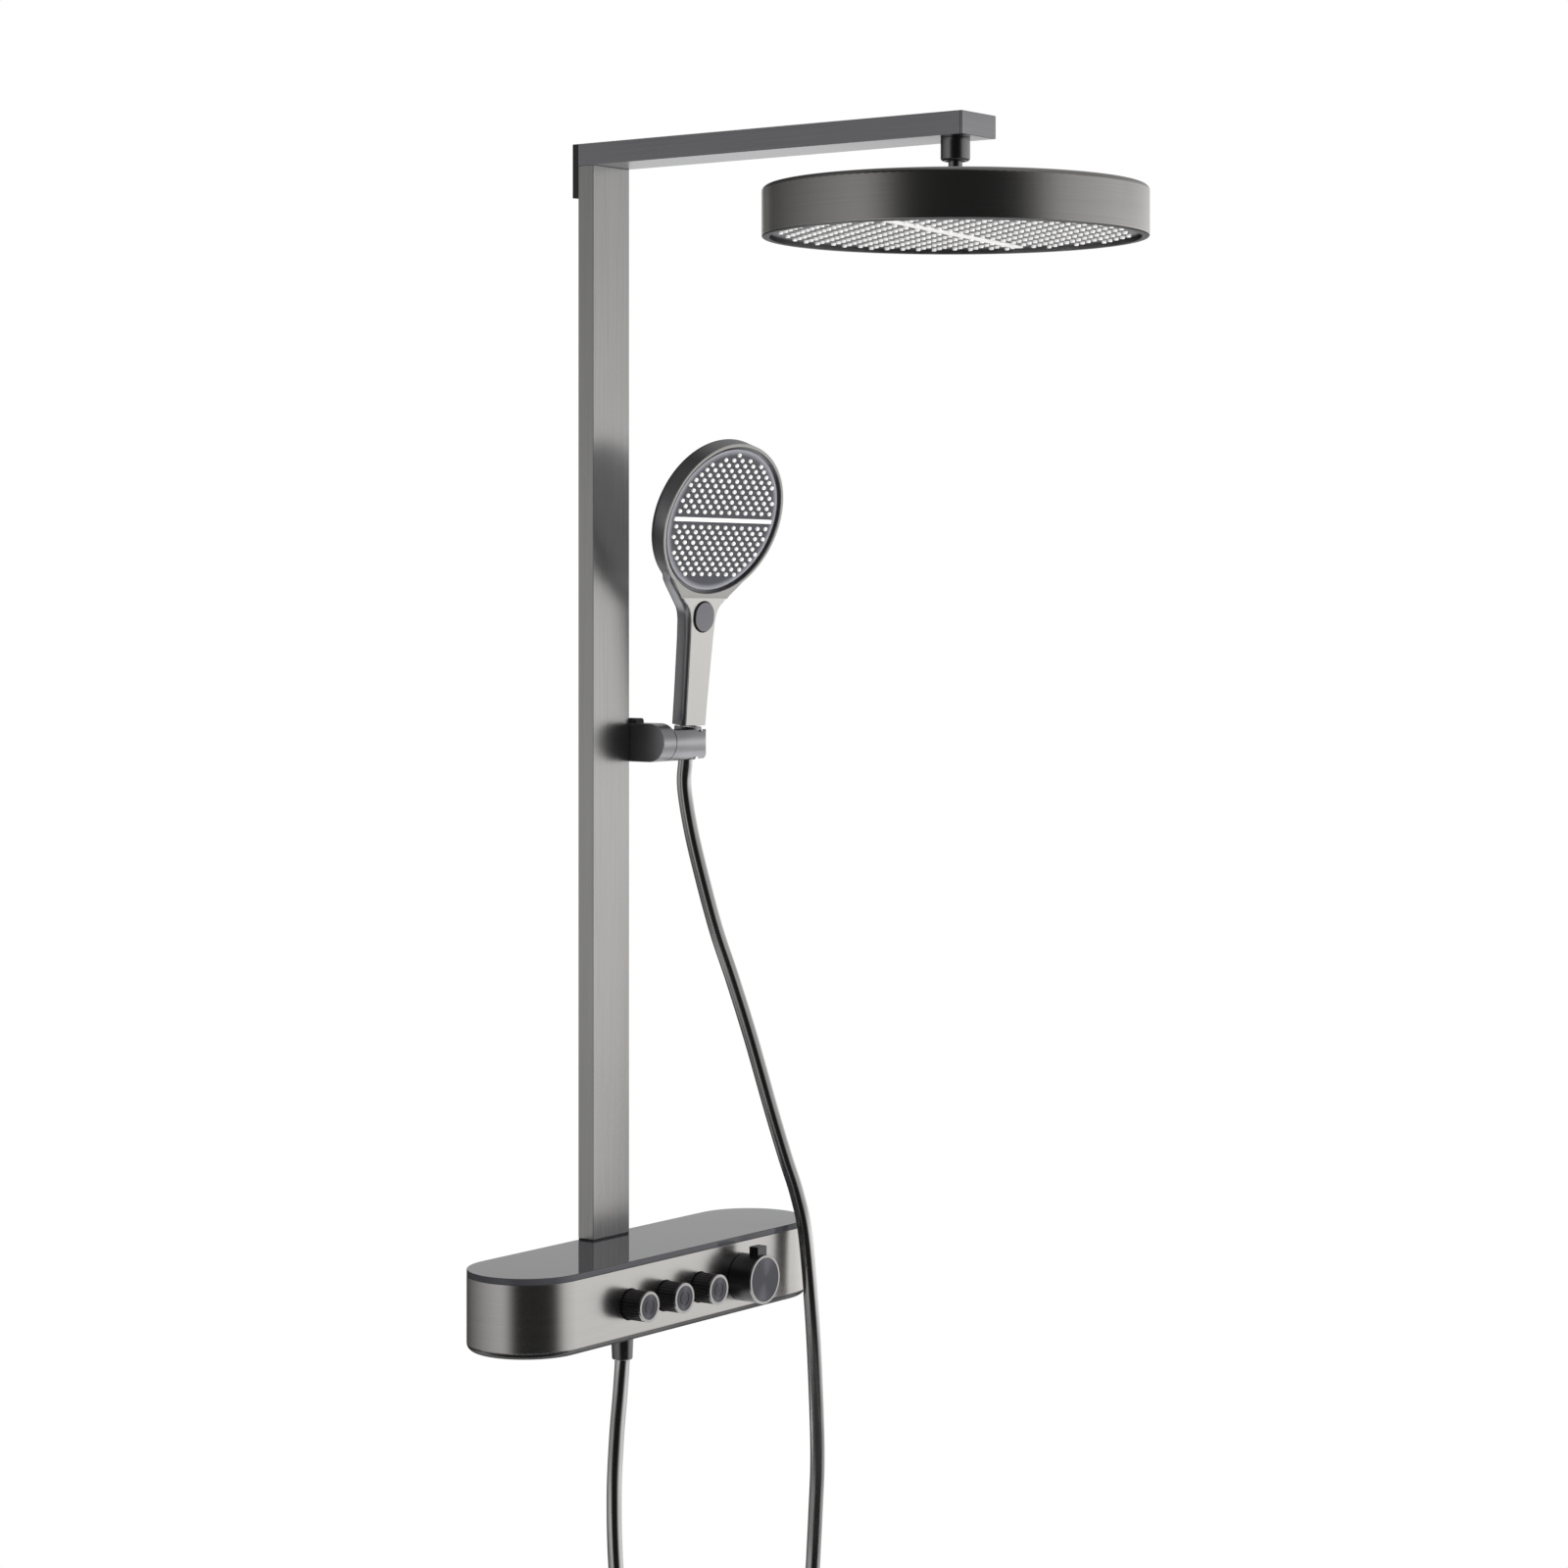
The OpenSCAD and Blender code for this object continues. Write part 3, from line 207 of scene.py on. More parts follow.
class NodeBuilder:
    """Adds nodes to one node tree."""

    def __init__(self, tree: bpy.types.NodeTree) -> None:
        """Keeps the tree."""
        self.tree = tree

    def node(self, kind: str, settings: dict | None = None,
             sockets: dict | None = None) -> bpy.types.Node:
        """Adds a node.

        Args:
            kind: The node's type.
            settings: Its properties, set first.
            sockets: Values or links of its inputs, by name or number.

        Returns:
            The new node.
        """
        node = self.tree.nodes.new(kind)
        for name, value in (settings or {}).items():
            setattr(node, name, value)
        for key, value in (sockets or {}).items():
            self.plug(node.inputs[key], value)
        return node

    def plug(self, socket: bpy.types.NodeSocket, value: object) -> None:
        """Links a value to a socket, or sets it there.

        Args:
            socket: The input that takes the value.
            value: A Value, a socket, a number or a tuple.
        """
        if isinstance(value, Value):
            value = value.socket
        if isinstance(value, bpy.types.NodeSocket):
            self.tree.links.new(value, socket)
        elif isinstance(value, tuple) and len(value) == 3 and socket.type == "RGBA":
            socket.default_value = (*value, 1.0)
        else:
            socket.default_value = value


class Paint(NodeBuilder):
    """One material, or the world, and the nodes that are added to it."""

    def __init__(self, name: str, tree: bpy.types.ShaderNodeTree | None = None) -> None:
        """Starts from an empty node tree.

        Args:
            name: Name of the new material, where no tree is given.
            tree: The tree to empty and use instead of a new material's.
        """
        self.material = None
        if tree is None:
            self.material = bpy.data.materials.new(name)
            self.material.use_nodes = True
            tree = self.material.node_tree
        super().__init__(tree)
        self.tree.nodes.clear()

    def place(self, scale: Point = (1, 1, 1), centre: Point = (0, 0, 0)) -> bpy.types.NodeSocket:
        """Object coordinates, moved to a centre and then scaled.

        Args:
            scale: Factor along each axis.
            centre: The point that becomes the pattern's origin.

        Returns:
            The vector's socket.
        """
        coords = self.node("ShaderNodeTexCoord").outputs["Object"]
        shift = tuple(-c * s for c, s in zip(centre, scale))
        return self.node("ShaderNodeMapping", None, {"Vector": coords, "Location": shift,
                                                     "Scale": scale}).outputs[0]

    def parts(self, vector: bpy.types.NodeSocket) -> tuple[Value, Value, Value]:
        """The three numbers of a vector."""
        split = self.node("ShaderNodeSeparateXYZ", None, {0: vector})
        return tuple(Value(self, s) for s in split.outputs)

    def noise(self, vector: bpy.types.NodeSocket, scale: float, detail: float = 3.0,
              roughness: float = 0.5) -> Value:
        """Soft random number around a half.

        Args:
            vector: Where the pattern is read.
            scale: How fine it is.
            detail: How many octaves it has.
            roughness: How strong the finer octaves are.

        Returns:
            The number.
        """
        node = self.node("ShaderNodeTexNoise", None, {"Vector": vector, "Scale": scale,
                                                      "Detail": detail, "Roughness": roughness})
        return Value(self, node.outputs[0])

    def between(self, mask: Value, first: Colour, second: Colour) -> bpy.types.NodeSocket:
        """Colour that goes from the first to the second as the mask goes from zero to one."""
        node = self.node("ShaderNodeMix", {"data_type": "RGBA"}, {0: mask, 6: first, 7: second})
        return node.outputs[2]

    def blended(self, share: Value, first: Value | float, second: Value | float) -> Value:
        """Number that goes from the first to the second as the share goes from zero to one."""
        node = self.node("ShaderNodeMix", {"data_type": "FLOAT"}, {0: share, 2: first, 3: second})
        return Value(self, node.outputs[0])

    def bump(self, height: Value, distance: float, strength: float = 1.0) -> bpy.types.NodeSocket:
        """Normal that follows a height.

        Args:
            height: The height, about zero to one.
            distance: How deep one unit of it is, in metres.
            strength: Share of the effect.

        Returns:
            The normal's socket.
        """
        node = self.node("ShaderNodeBump", None, {"Height": height, "Distance": distance,
                                                  "Strength": strength})
        return node.outputs[0]

    def finish(self, **sockets: object) -> bpy.types.Material:
        """Ends the material in one Principled shader.

        Args:
            sockets: Inputs by name, with an underscore for each space.

        Returns:
            The material.
        """
        named = {key.replace("_", " "): value for key, value in sockets.items()}
        shader = self.node("ShaderNodeBsdfPrincipled", None, named)
        self.node("ShaderNodeOutputMaterial", None, {"Surface": shader.outputs[0]})
        return self.material


# ------------------------------------------------------------------ finishes


@dataclass(frozen=True)
class BrushedMetal:
    """Satin metal with fine straight brush lines and a faint cloudiness."""

    name: str
    colour: Colour
    brushing: Brushing
    roughness: float = 0.3
    line_depth: float = 0.000003
    lines_per_metre: float = 900.0
    streaks_per_metre: float = 7.0
    contrast: float = 0.1

    def make(self) -> bpy.types.Material:
        """Builds the material.

        Returns:
            The material.
        """
        paint = Paint(self.name)
        scale = [self.streaks_per_metre] * 3
        for axis in self.brushing.value:
            scale[axis] = self.lines_per_metre
        lines = paint.noise(paint.place(tuple(scale)), scale=1.0, roughness=0.65)
        clouds = paint.noise(paint.place(), scale=9.0, detail=2.0)
        light = tuple(min(1.0, c * (1 + self.contrast)) for c in self.colour)
        dark = tuple(c * (1 - self.contrast) for c in self.colour)
        tone = (lines * 0.7 + clouds * 0.3).ramp(0.25, 0.75)
        rough = self.roughness - 0.04 + lines * 0.05 + clouds * 0.03
        return paint.finish(Base_Color=paint.between(tone, dark, light), Metallic=1.0,
                            Roughness=rough, Normal=paint.bump(lines, self.line_depth))


@dataclass(frozen=True)
class SpunMetal:
    """Metal turned on a lathe: fine rings about an axis along Y, with two opposite painted
    highlights.
    """

    name: str
    colour: Colour
    centre: Point
    roughness: float = 0.3
    ring_pitch: float = 0.0007
    ring_depth: float = 0.000012
    core: float = 0.0004
    painted_glint: float = 0.9
    painted_glint_turn: float = 14.0

    def make(self) -> bpy.types.Material:
        """Builds the material.

        Returns:
            The material.
        """
        paint = Paint(self.name)
        x, _, z = paint.parts(paint.place(centre=self.centre))
        radius = (x * x + z * z).root()
        grain = paint.noise(paint.place(scale=(900, 900, 900)), scale=1.0)
        rings = (radius * (math.tau / self.ring_pitch) + grain * 2.0).sine() * 0.5 + 0.5
        # Two opposite painted highlights: the colour lightens along one direction across the cap,
        # standing in for its glints.
        turn = math.radians(self.painted_glint_turn)
        along = (x * math.sin(turn) + z * math.cos(turn)) / (radius + self.core)
        painted_glints = (along * along) ** 5.0
        tone = rings * 0.25 + painted_glints * 0.75
        light = tuple(min(1.0, c * (1 + self.painted_glint)) for c in self.colour)
        dark = tuple(c * 0.8 for c in self.colour)
        return paint.finish(Base_Color=paint.between(tone, dark, light), Metallic=1.0,
                            Roughness=self.roughness + grain * 0.06,
                            Normal=paint.bump(rings, self.ring_depth))


@dataclass(frozen=True)
class SatinPlate:
    """Plated or moulded surface with a fine even texture."""

    name: str
    colour: Colour
    metallic: float = 1.0
    roughness: float = 0.32
    texture: float = 0.000006
    coat: float = 0.0
    gloss: float = 0.5
    edge: float = 1.0

    def make(self) -> bpy.types.Material:
        """Builds the material.

        Returns:
            The material.
        """
        paint = Paint(self.name)
        grain = paint.noise(paint.place(), scale=2600.0, detail=2.0)
        clouds = paint.noise(paint.place(), scale=22.0)
        light = tuple(min(1.0, c * 1.07) for c in self.colour)
        dark = tuple(c * 0.93 for c in self.colour)
        rough = self.roughness - 0.04 + clouds * 0.05 + grain * 0.03
        return paint.finish(Base_Color=paint.between(clouds.ramp(0.3, 0.7), dark, light),
                            Metallic=self.metallic, Roughness=rough, Coat_Weight=self.coat,
                            Coat_Roughness=0.08, Specular_IOR_Level=self.gloss,
                            Specular_Tint=(self.edge, self.edge, self.edge, 1.0),
                            Normal=paint.bump(grain, self.texture))


@dataclass(frozen=True)
class BackPaintedGlass:
    """Toughened glass with a grey back coat, seen as a deep gloss."""

    name: str
    colour: Colour

    def make(self) -> bpy.types.Material:
        """Builds the material.

        Returns:
            The material.
        """
        paint = Paint(self.name)
        waves = paint.noise(paint.place(), scale=6.0, detail=1.0)
        dark = tuple(c * 0.9 for c in self.colour)
        return paint.finish(Base_Color=paint.between(waves, dark, self.colour), Metallic=0.0,
                            Roughness=0.04 + waves * 0.02, IOR=1.5,
                            Normal=paint.bump(waves, 0.00002))


@dataclass(frozen=True)
class SprayFace:
    """Moulded spray face whose nozzle field is darker than its border.

    The field is all that lies within a radius of its centre.
    """

    name: str
    border: Colour
    inside: Colour
    centre: Point
    radius: float
    fade: float = 0.003
    gloss: float = 0.3

    def make(self) -> bpy.types.Material:
        """Builds the material.

        Returns:
            The material.
        """
        paint = Paint(self.name)
        x, y, z = paint.parts(paint.place(centre=self.centre))
        radius = (x * x + y * y + z * z).root()
        outside = radius.ramp(self.radius - self.fade, self.radius + self.fade)
        grain = paint.noise(paint.place(), scale=2600.0, detail=2.0)
        return paint.finish(Base_Color=paint.between(outside, self.inside, self.border),
                            Metallic=0.0, Roughness=0.34 + grain * 0.05,
                            Specular_IOR_Level=self.gloss,
                            Normal=paint.bump(grain, 0.000006))


@dataclass(frozen=True)
class Silicone:
    """Soft white silicone with a faint bloom."""

    name: str
    colour: Colour

    def make(self) -> bpy.types.Material:
        """Builds the material.

        Returns:
            The material.
        """
        paint = Paint(self.name)
        bloom = paint.noise(paint.place(), scale=160.0, detail=2.0)
        dark = tuple(c * 0.93 for c in self.colour)
        return paint.finish(Base_Color=paint.between(bloom, dark, self.colour), Metallic=0.0,
                            Roughness=0.42 + bloom * 0.1, Normal=paint.bump(bloom, 0.00002))


class Finishes:
    """The materials of the whole object, made once each."""

    def __init__(self) -> None:
        """Makes every finish."""
        self.column = BrushedMetal("brushed gun-metal column", srgb("bdbcbb"), Brushing.ALONG_Z,
                                   roughness=0.28).make()
        self.arm = BrushedMetal("brushed gun-metal arm", srgb("a6a6a9"), Brushing.ALONG_Y,
                                roughness=0.28).make()
        self.arm_end = BrushedMetal("brushed gun-metal end", srgb("a8a7ab"), Brushing.LEVEL,
                                    roughness=0.3).make()
        self.shelf = BrushedMetal("brushed gun-metal shelf", srgb("dedbd8"), Brushing.LEVEL,
                                  roughness=0.25, line_depth=0.000001, contrast=0.04).make()
        self.drum = BrushedMetal("brushed gun-metal drum", srgb("c4c2c0"), Brushing.LEVEL,
                                 roughness=0.26, contrast=0.05).make()
        # Downward faces and the drum's lip take this darker colour as painted shade.
        self.underside = SatinPlate("plated underside, darkened as painted shade", srgb("7c7b7c"), roughness=0.3,
                                    edge=0.3).make()
        self.nut = SatinPlate("satin gun-metal nut", srgb("a19fa0"), roughness=0.22).make()
        self.knob = SatinPlate("dark gun-metal knob", srgb("6a696b"), roughness=0.34).make()
        self.knob_rim = SatinPlate("bright knob rim", srgb("c9c7c6"), roughness=0.24).make()
        self.holder = SatinPlate("satin gun-metal holder", srgb("c2c2c6"), roughness=0.36).make()
        # The shell is darker than the front partly as painted shade, for the shade on the hand
        # shower's sides.
        self.shell = SatinPlate("plated shell, darker in part as painted shade", srgb("b0b0b3"), roughness=0.36).make()
        self.front = BrushedMetal("light plated front", srgb("efede9"), Brushing.ALONG_Z,
                                  roughness=0.3, contrast=0.03).make()
        self.button = SatinPlate("satin button", srgb("96959b"), roughness=0.34).make()
        self.black = SatinPlate("matt black moulding", srgb("242426"), metallic=0.0,
                                roughness=0.5, texture=0.00002).make()
        self.bracket = SatinPlate("satin black bracket", srgb("1f1f21"), metallic=0.0,
                                  roughness=0.35).make()
        # The nozzle mouth finish is painted shade: a dark disc on each nozzle's tip for the inside
        # of its mouth.
        self.painted_mouth_shade = SatinPlate("painted nozzle mouth shade", srgb("3b3b3e"), metallic=0.0, roughness=0.6).make()
        self.glass = BackPaintedGlass("back-painted smoked glass", srgb("3a3a3e")).make()
        self.silicone = Silicone("white silicone", srgb("f4f3f1")).make()
        self.hose = SatinPlate("smooth metallic hose", srgb("d4d3d2"), roughness=0.18,
                               texture=0.000002, coat=0.4).make()
        self.brass = SatinPlate("machined brass", srgb("c9a767"), roughness=0.35,
                                texture=0.00001).make()
        self.copper = SatinPlate("drawn copper", srgb("c98b66"), roughness=0.3).make()
        self.chrome = SatinPlate("bright chrome", srgb("d8d8d8"), roughness=0.08,
                                 texture=0.000001).make()
        self.acetal = SatinPlate("natural acetal", srgb("dcd8cc"), metallic=0.0,
                                 roughness=0.4).make()


# ------------------------------------------------------------------ mesh helpers


def finish_mesh(obj: bpy.types.Object, angle: float = 35.0) -> bpy.types.Object:
    """Shades an object smooth, with edges sharper than an angle kept crisp.

    Args:
        obj: A mesh object.
        angle: The angle in degrees.

    Returns:
        The same object.
    """
    for polygon in obj.data.polygons:
        polygon.use_smooth = True
    obj.data.set_sharp_from_angle(angle=math.radians(angle))
    return obj


def new_object(name: str, mesh: bpy.types.Mesh,
               material: bpy.types.Material | None) -> bpy.types.Object:
    """Puts a mesh in the scene.

    Args:
        name: The object's name.
        mesh: Its mesh.
        material: The finish of all its faces, or None to keep those it has.

    Returns:
        The object.
    """
    if material is not None:
        mesh.materials.clear()
        mesh.materials.append(material)
    obj = bpy.data.objects.new(name, mesh)
    bpy.context.scene.collection.objects.link(obj)
    return obj


def baked(obj: bpy.types.Object) -> bpy.types.Object:
    """Turns an object with modifiers into a plain mesh object of the same name.

    Args:
        obj: The object, which is removed.

    Returns:
        The plain object.
    """
    graph = bpy.context.evaluated_depsgraph_get()
    graph.update()
    mesh = bpy.data.meshes.new_from_object(obj.evaluated_get(graph), depsgraph=graph)
    name = obj.name
    bpy.data.objects.remove(obj)
    return new_object(name, mesh, None)


def before(plane_y: float) -> FaceTest:
    """Test for faces that lie on the room's side of a plane parallel to the wall."""
    return lambda face: face.calc_center_median().y < plane_y


def looking_along(direction: Vector, least: float, most: float = 2.0) -> FaceTest:
    """Test for faces whose outward direction has a share of a given one between two limits."""
    return lambda face: least < face.normal.dot(direction) < most


def softened(node: str, material: bpy.types.Material, width: float = 0.0004, segments: int = 2,
             second: bpy.types.Material | None = None, chosen: FaceTest | None = None
             ) -> bpy.types.Object:
    """Copy of a CAD node whose sharp edges are rounded, standing for the node.

    Args:
        node: The CAD node.
        material: The copy's finish.
        width: Width of the rounding.
        segments: Its number of steps.
        second: Finish of the chosen faces.
        chosen: Test that tells which faces those are.

    Returns:
        The copy, riding on the node's body.
    """
    source = frame["nodes"][node]
    mesh = source.data.copy()
    mesh.materials.clear()
    mesh.materials.append(material)
    shape = bmesh.new()
    shape.from_mesh(mesh)
    bmesh.ops.remove_doubles(shape, verts=shape.verts, dist=MERGE_DISTANCE)
    bmesh.ops.dissolve_limit(shape, angle_limit=FLAT_ANGLE, verts=shape.verts, edges=shape.edges)
    if second is not None:
        mesh.materials.append(second)
        for face in shape.faces:
            face.material_index = int(chosen(face))
    for face in shape.faces:
        face.smooth = True
    shape.to_mesh(mesh)
    shape.free()
    obj = new_object(node + ".dressed", mesh, None)
    bevel = obj.modifiers.new("Edges", "BEVEL")
    bevel.width = width
    bevel.segments = segments
    bevel.limit_method = "ANGLE"
    bevel.angle_limit = EDGE_ANGLE
    bevel.use_clamp_overlap = True
    even = obj.modifiers.new("Normals", "WEIGHTED_NORMAL")
    even.weight = 100
    obj = baked(obj)
    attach(obj, source["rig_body"])
    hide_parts(node)
    return obj


def dress(node: str, material: bpy.types.Material) -> None:
    """Gives a CAD node its finish.

    Args:
        node: The node's name.
        material: The finish.
    """
    obj = frame["nodes"][node]
    obj.data.materials.clear()
    obj.data.materials.append(material)


class TreeBuilder(NodeBuilder):
    """Builds one Geometry Nodes tree with named inputs."""

    def __init__(self, name: str) -> None:
        """Starts an empty tree with a geometry output.

        Args:
            name: The tree's name.
        """
        super().__init__(bpy.data.node_groups.new(name, "GeometryNodeTree"))
        self.tree.interface.new_socket("Geometry", in_out="OUTPUT",
                                       socket_type="NodeSocketGeometry")
        self.inputs = None
        self.output = self.tree.nodes.new("NodeGroupOutput")

    def number(self, name: str, default: float) -> None:
        """Adds a named number to the tree's inputs."""
        socket = self.tree.interface.new_socket(name, in_out="INPUT", socket_type="NodeSocketFloat")
        socket.default_value = default

    def geometry(self, name: str = "Geometry") -> None:
        """Adds a geometry input."""
        self.tree.interface.new_socket(name, in_out="INPUT", socket_type="NodeSocketGeometry")

    def given(self, name: str) -> bpy.types.NodeSocket:
        """The socket of a named input, once all inputs are added."""
        if self.inputs is None:
            self.inputs = self.tree.nodes.new("NodeGroupInput")
        return self.inputs.outputs[name]

    def math(self, operation: str, *terms: object) -> bpy.types.NodeSocket:
        """Result of a Math node."""
        return self.node("ShaderNodeMath", {"operation": operation},
                         dict(enumerate(terms))).outputs[0]

    def end(self, geometry: bpy.types.NodeSocket) -> bpy.types.GeometryNodeTree:
        """Links the result and returns the tree."""
        self.tree.links.new(geometry, self.output.inputs[0])
        return self.tree


def grown(name: str, tree: bpy.types.GeometryNodeTree, values: dict[str, float],
          mesh: bpy.types.Mesh | None = None) -> bpy.types.Object:
    """Runs a Geometry Nodes tree and keeps its result as a plain mesh object.

    Args:
        name: The object's name.
        tree: The tree.
        values: Its inputs, by name.
        mesh: What the tree starts from, where it needs something.

    Returns:
        The object, at the origin.
    """
    obj = new_object(name, mesh or bpy.data.meshes.new(name), None)
    modifier = obj.modifiers.new("Pattern", "NODES")
    modifier.node_group = tree
    for item in tree.interface.items_tree:
        if item.in_out == "INPUT" and item.name in values:
            modifier[item.identifier] = values[item.name]
    return baked(obj)


def nozzle_tree(body: bpy.types.Material, mouth: bpy.types.Material) -> bpy.types.GeometryNodeTree:
    """Tree that stands small round nozzles in staggered rows, along +Z.

    The rows lie above and below the X axis, and every second one is moved by half a step.

    Args:
        body: Finish of the nozzles.
        mouth: Dark finish of their tips, painted shade that stands for the inside of their mouths.

    Returns:
        The tree.
    """
    build = TreeBuilder("nozzle field")
    defaults = {"Radius": 0.13, "Step": 0.019, "Row pitch": 0.0095, "First row": 0.0095,
                "Lowest": -1.0, "Nozzle radius": 0.002, "Nozzle height": 0.0028}
    for name, value in defaults.items():
        build.number(name, value)
    reach, step, pitch = (build.given(name) for name in ("Radius", "Step", "Row pitch"))
    nozzle_r, nozzle_h = build.given("Nozzle radius"), build.given("Nozzle height")

    # A grid of whole numbers: columns along X, rows along Y, none of them on the X axis.
    rows = build.math("MULTIPLY", build.math("CEIL", build.math("DIVIDE", reach, pitch)), 2.0)
    columns = build.math("MULTIPLY", build.math("CEIL", build.math("DIVIDE", reach, step)), 2.0)
    grid = build.node("GeometryNodeMeshGrid", None, {
        "Size X": columns, "Size Y": rows, "Vertices X": build.math("ADD", columns, 1.0),
        "Vertices Y": build.math("ADD", rows, 1.0)})
    place = build.node("ShaderNodeSeparateXYZ", None, {
        0: build.node("GeometryNodeInputPosition").outputs[0]})
    side = build.math("SIGN", place.outputs["Y"])
    row = build.math("ROUND", build.math("ABSOLUTE", place.outputs["Y"]))
    half = build.math("MULTIPLY", build.math("MODULO", row, 2.0), 0.5)
    new_x = build.math("MULTIPLY", build.math("ADD", place.outputs["X"], half), step)
    rise = build.math("MULTIPLY", build.math("SUBTRACT", row, 1.0), pitch)
    new_y = build.math("MULTIPLY", build.math("ADD", build.given("First row"), rise), side)
    target = build.node("ShaderNodeCombineXYZ", None, {"X": new_x, "Y": new_y})
    spaced = build.node("GeometryNodeSetPosition", None, {
        "Geometry": grid.outputs["Mesh"], "Position": target.outputs[0]})

    # Points outside the field go, and so does the row that the first ones were measured from.
    final = build.node("GeometryNodeInputPosition").outputs[0]
    split = build.node("ShaderNodeSeparateXYZ", None, {0: final})
    length = build.node("ShaderNodeVectorMath", {"operation": "LENGTH"}, {0: final})
    outside = build.math("GREATER_THAN", length.outputs["Value"], reach)
    middle = build.math("LESS_THAN", build.math("ABSOLUTE", split.outputs["Y"]),
                        build.math("MULTIPLY", build.given("First row"), 0.5))
    below = build.math("LESS_THAN", split.outputs["Y"], build.given("Lowest"))
    gone = build.math("MAXIMUM", outside, build.math("MAXIMUM", middle, below))
    kept = build.node("GeometryNodeDeleteGeometry", {"domain": "POINT"},
                      {"Geometry": spaced.outputs[0], "Selection": gone})

    # One nozzle, from below: a straight foot, a tapered tip and a dark disc on the tip, painted
    # shade that stands for its mouth. Each has its finish, its share of the height, its two radii
    # as shares of the nozzle's, and its number of sides.
    rings = (
        (body, 0.7, 1.0, 0.95, 12),
        (body, 0.3, 0.95, 0.7, 12),
        (mouth, 0.01, 0.24, 0.22, 8),
    )
    parts = build.node("GeometryNodeJoinGeometry")
    low = 0.0
    for finish, share, wide, narrow, sides in rings:
        cone = build.node("GeometryNodeMeshCone", None, {
            "Vertices": sides, "Radius Bottom": build.math("MULTIPLY", nozzle_r, wide),
            "Radius Top": build.math("MULTIPLY", nozzle_r, narrow),
            "Depth": build.math("MULTIPLY", nozzle_h, share)})
        lift = build.node("ShaderNodeCombineXYZ", None, {
            "Z": build.math("MULTIPLY", nozzle_h, low)})
        raised = build.node("GeometryNodeTransform", None, {
            "Geometry": cone.outputs["Mesh"], "Translation": lift.outputs[0]})
        painted = build.node("GeometryNodeSetMaterial", None, {"Geometry": raised.outputs[0]})
        painted.inputs["Material"].default_value = finish
        build.tree.links.new(painted.outputs[0], parts.inputs[0])
        low += share
    spread = build.node("GeometryNodeInstanceOnPoints", None, {
        "Points": kept.outputs[0], "Instance": parts.outputs[0]})
    real = build.node("GeometryNodeRealizeInstances", None, {"Geometry": spread.outputs[0]})
    return build.end(real.outputs[0])


def sweep_tree(skin: bpy.types.Material) -> bpy.types.GeometryNodeTree:
    """Tree that sweeps a round section along a chain of edges.

    Args:
        skin: The tube's finish.

    Returns:
        The tree.
    """
    build = TreeBuilder("swept tube")
    build.geometry()
    build.number("Tube radius", 0.006)
    curve = build.node("GeometryNodeMeshToCurve", None, {0: build.given("Geometry")})
    section = build.node("GeometryNodeCurvePrimitiveCircle", None, {
        "Resolution": 24, "Radius": build.given("Tube radius")})
    tube = build.node("GeometryNodeCurveToMesh", None, {
        "Curve": curve.outputs[0], "Profile Curve": section.outputs[0], "Fill Caps": True})
    real = build.node("GeometryNodeRealizeInstances", None, {"Geometry": tube.outputs[0]})
    painted = build.node("GeometryNodeSetMaterial", None, {"Geometry": real.outputs[0]})
    painted.inputs["Material"].default_value = skin
    return build.end(painted.outputs[0])


# ------------------------------------------------------------------ studio


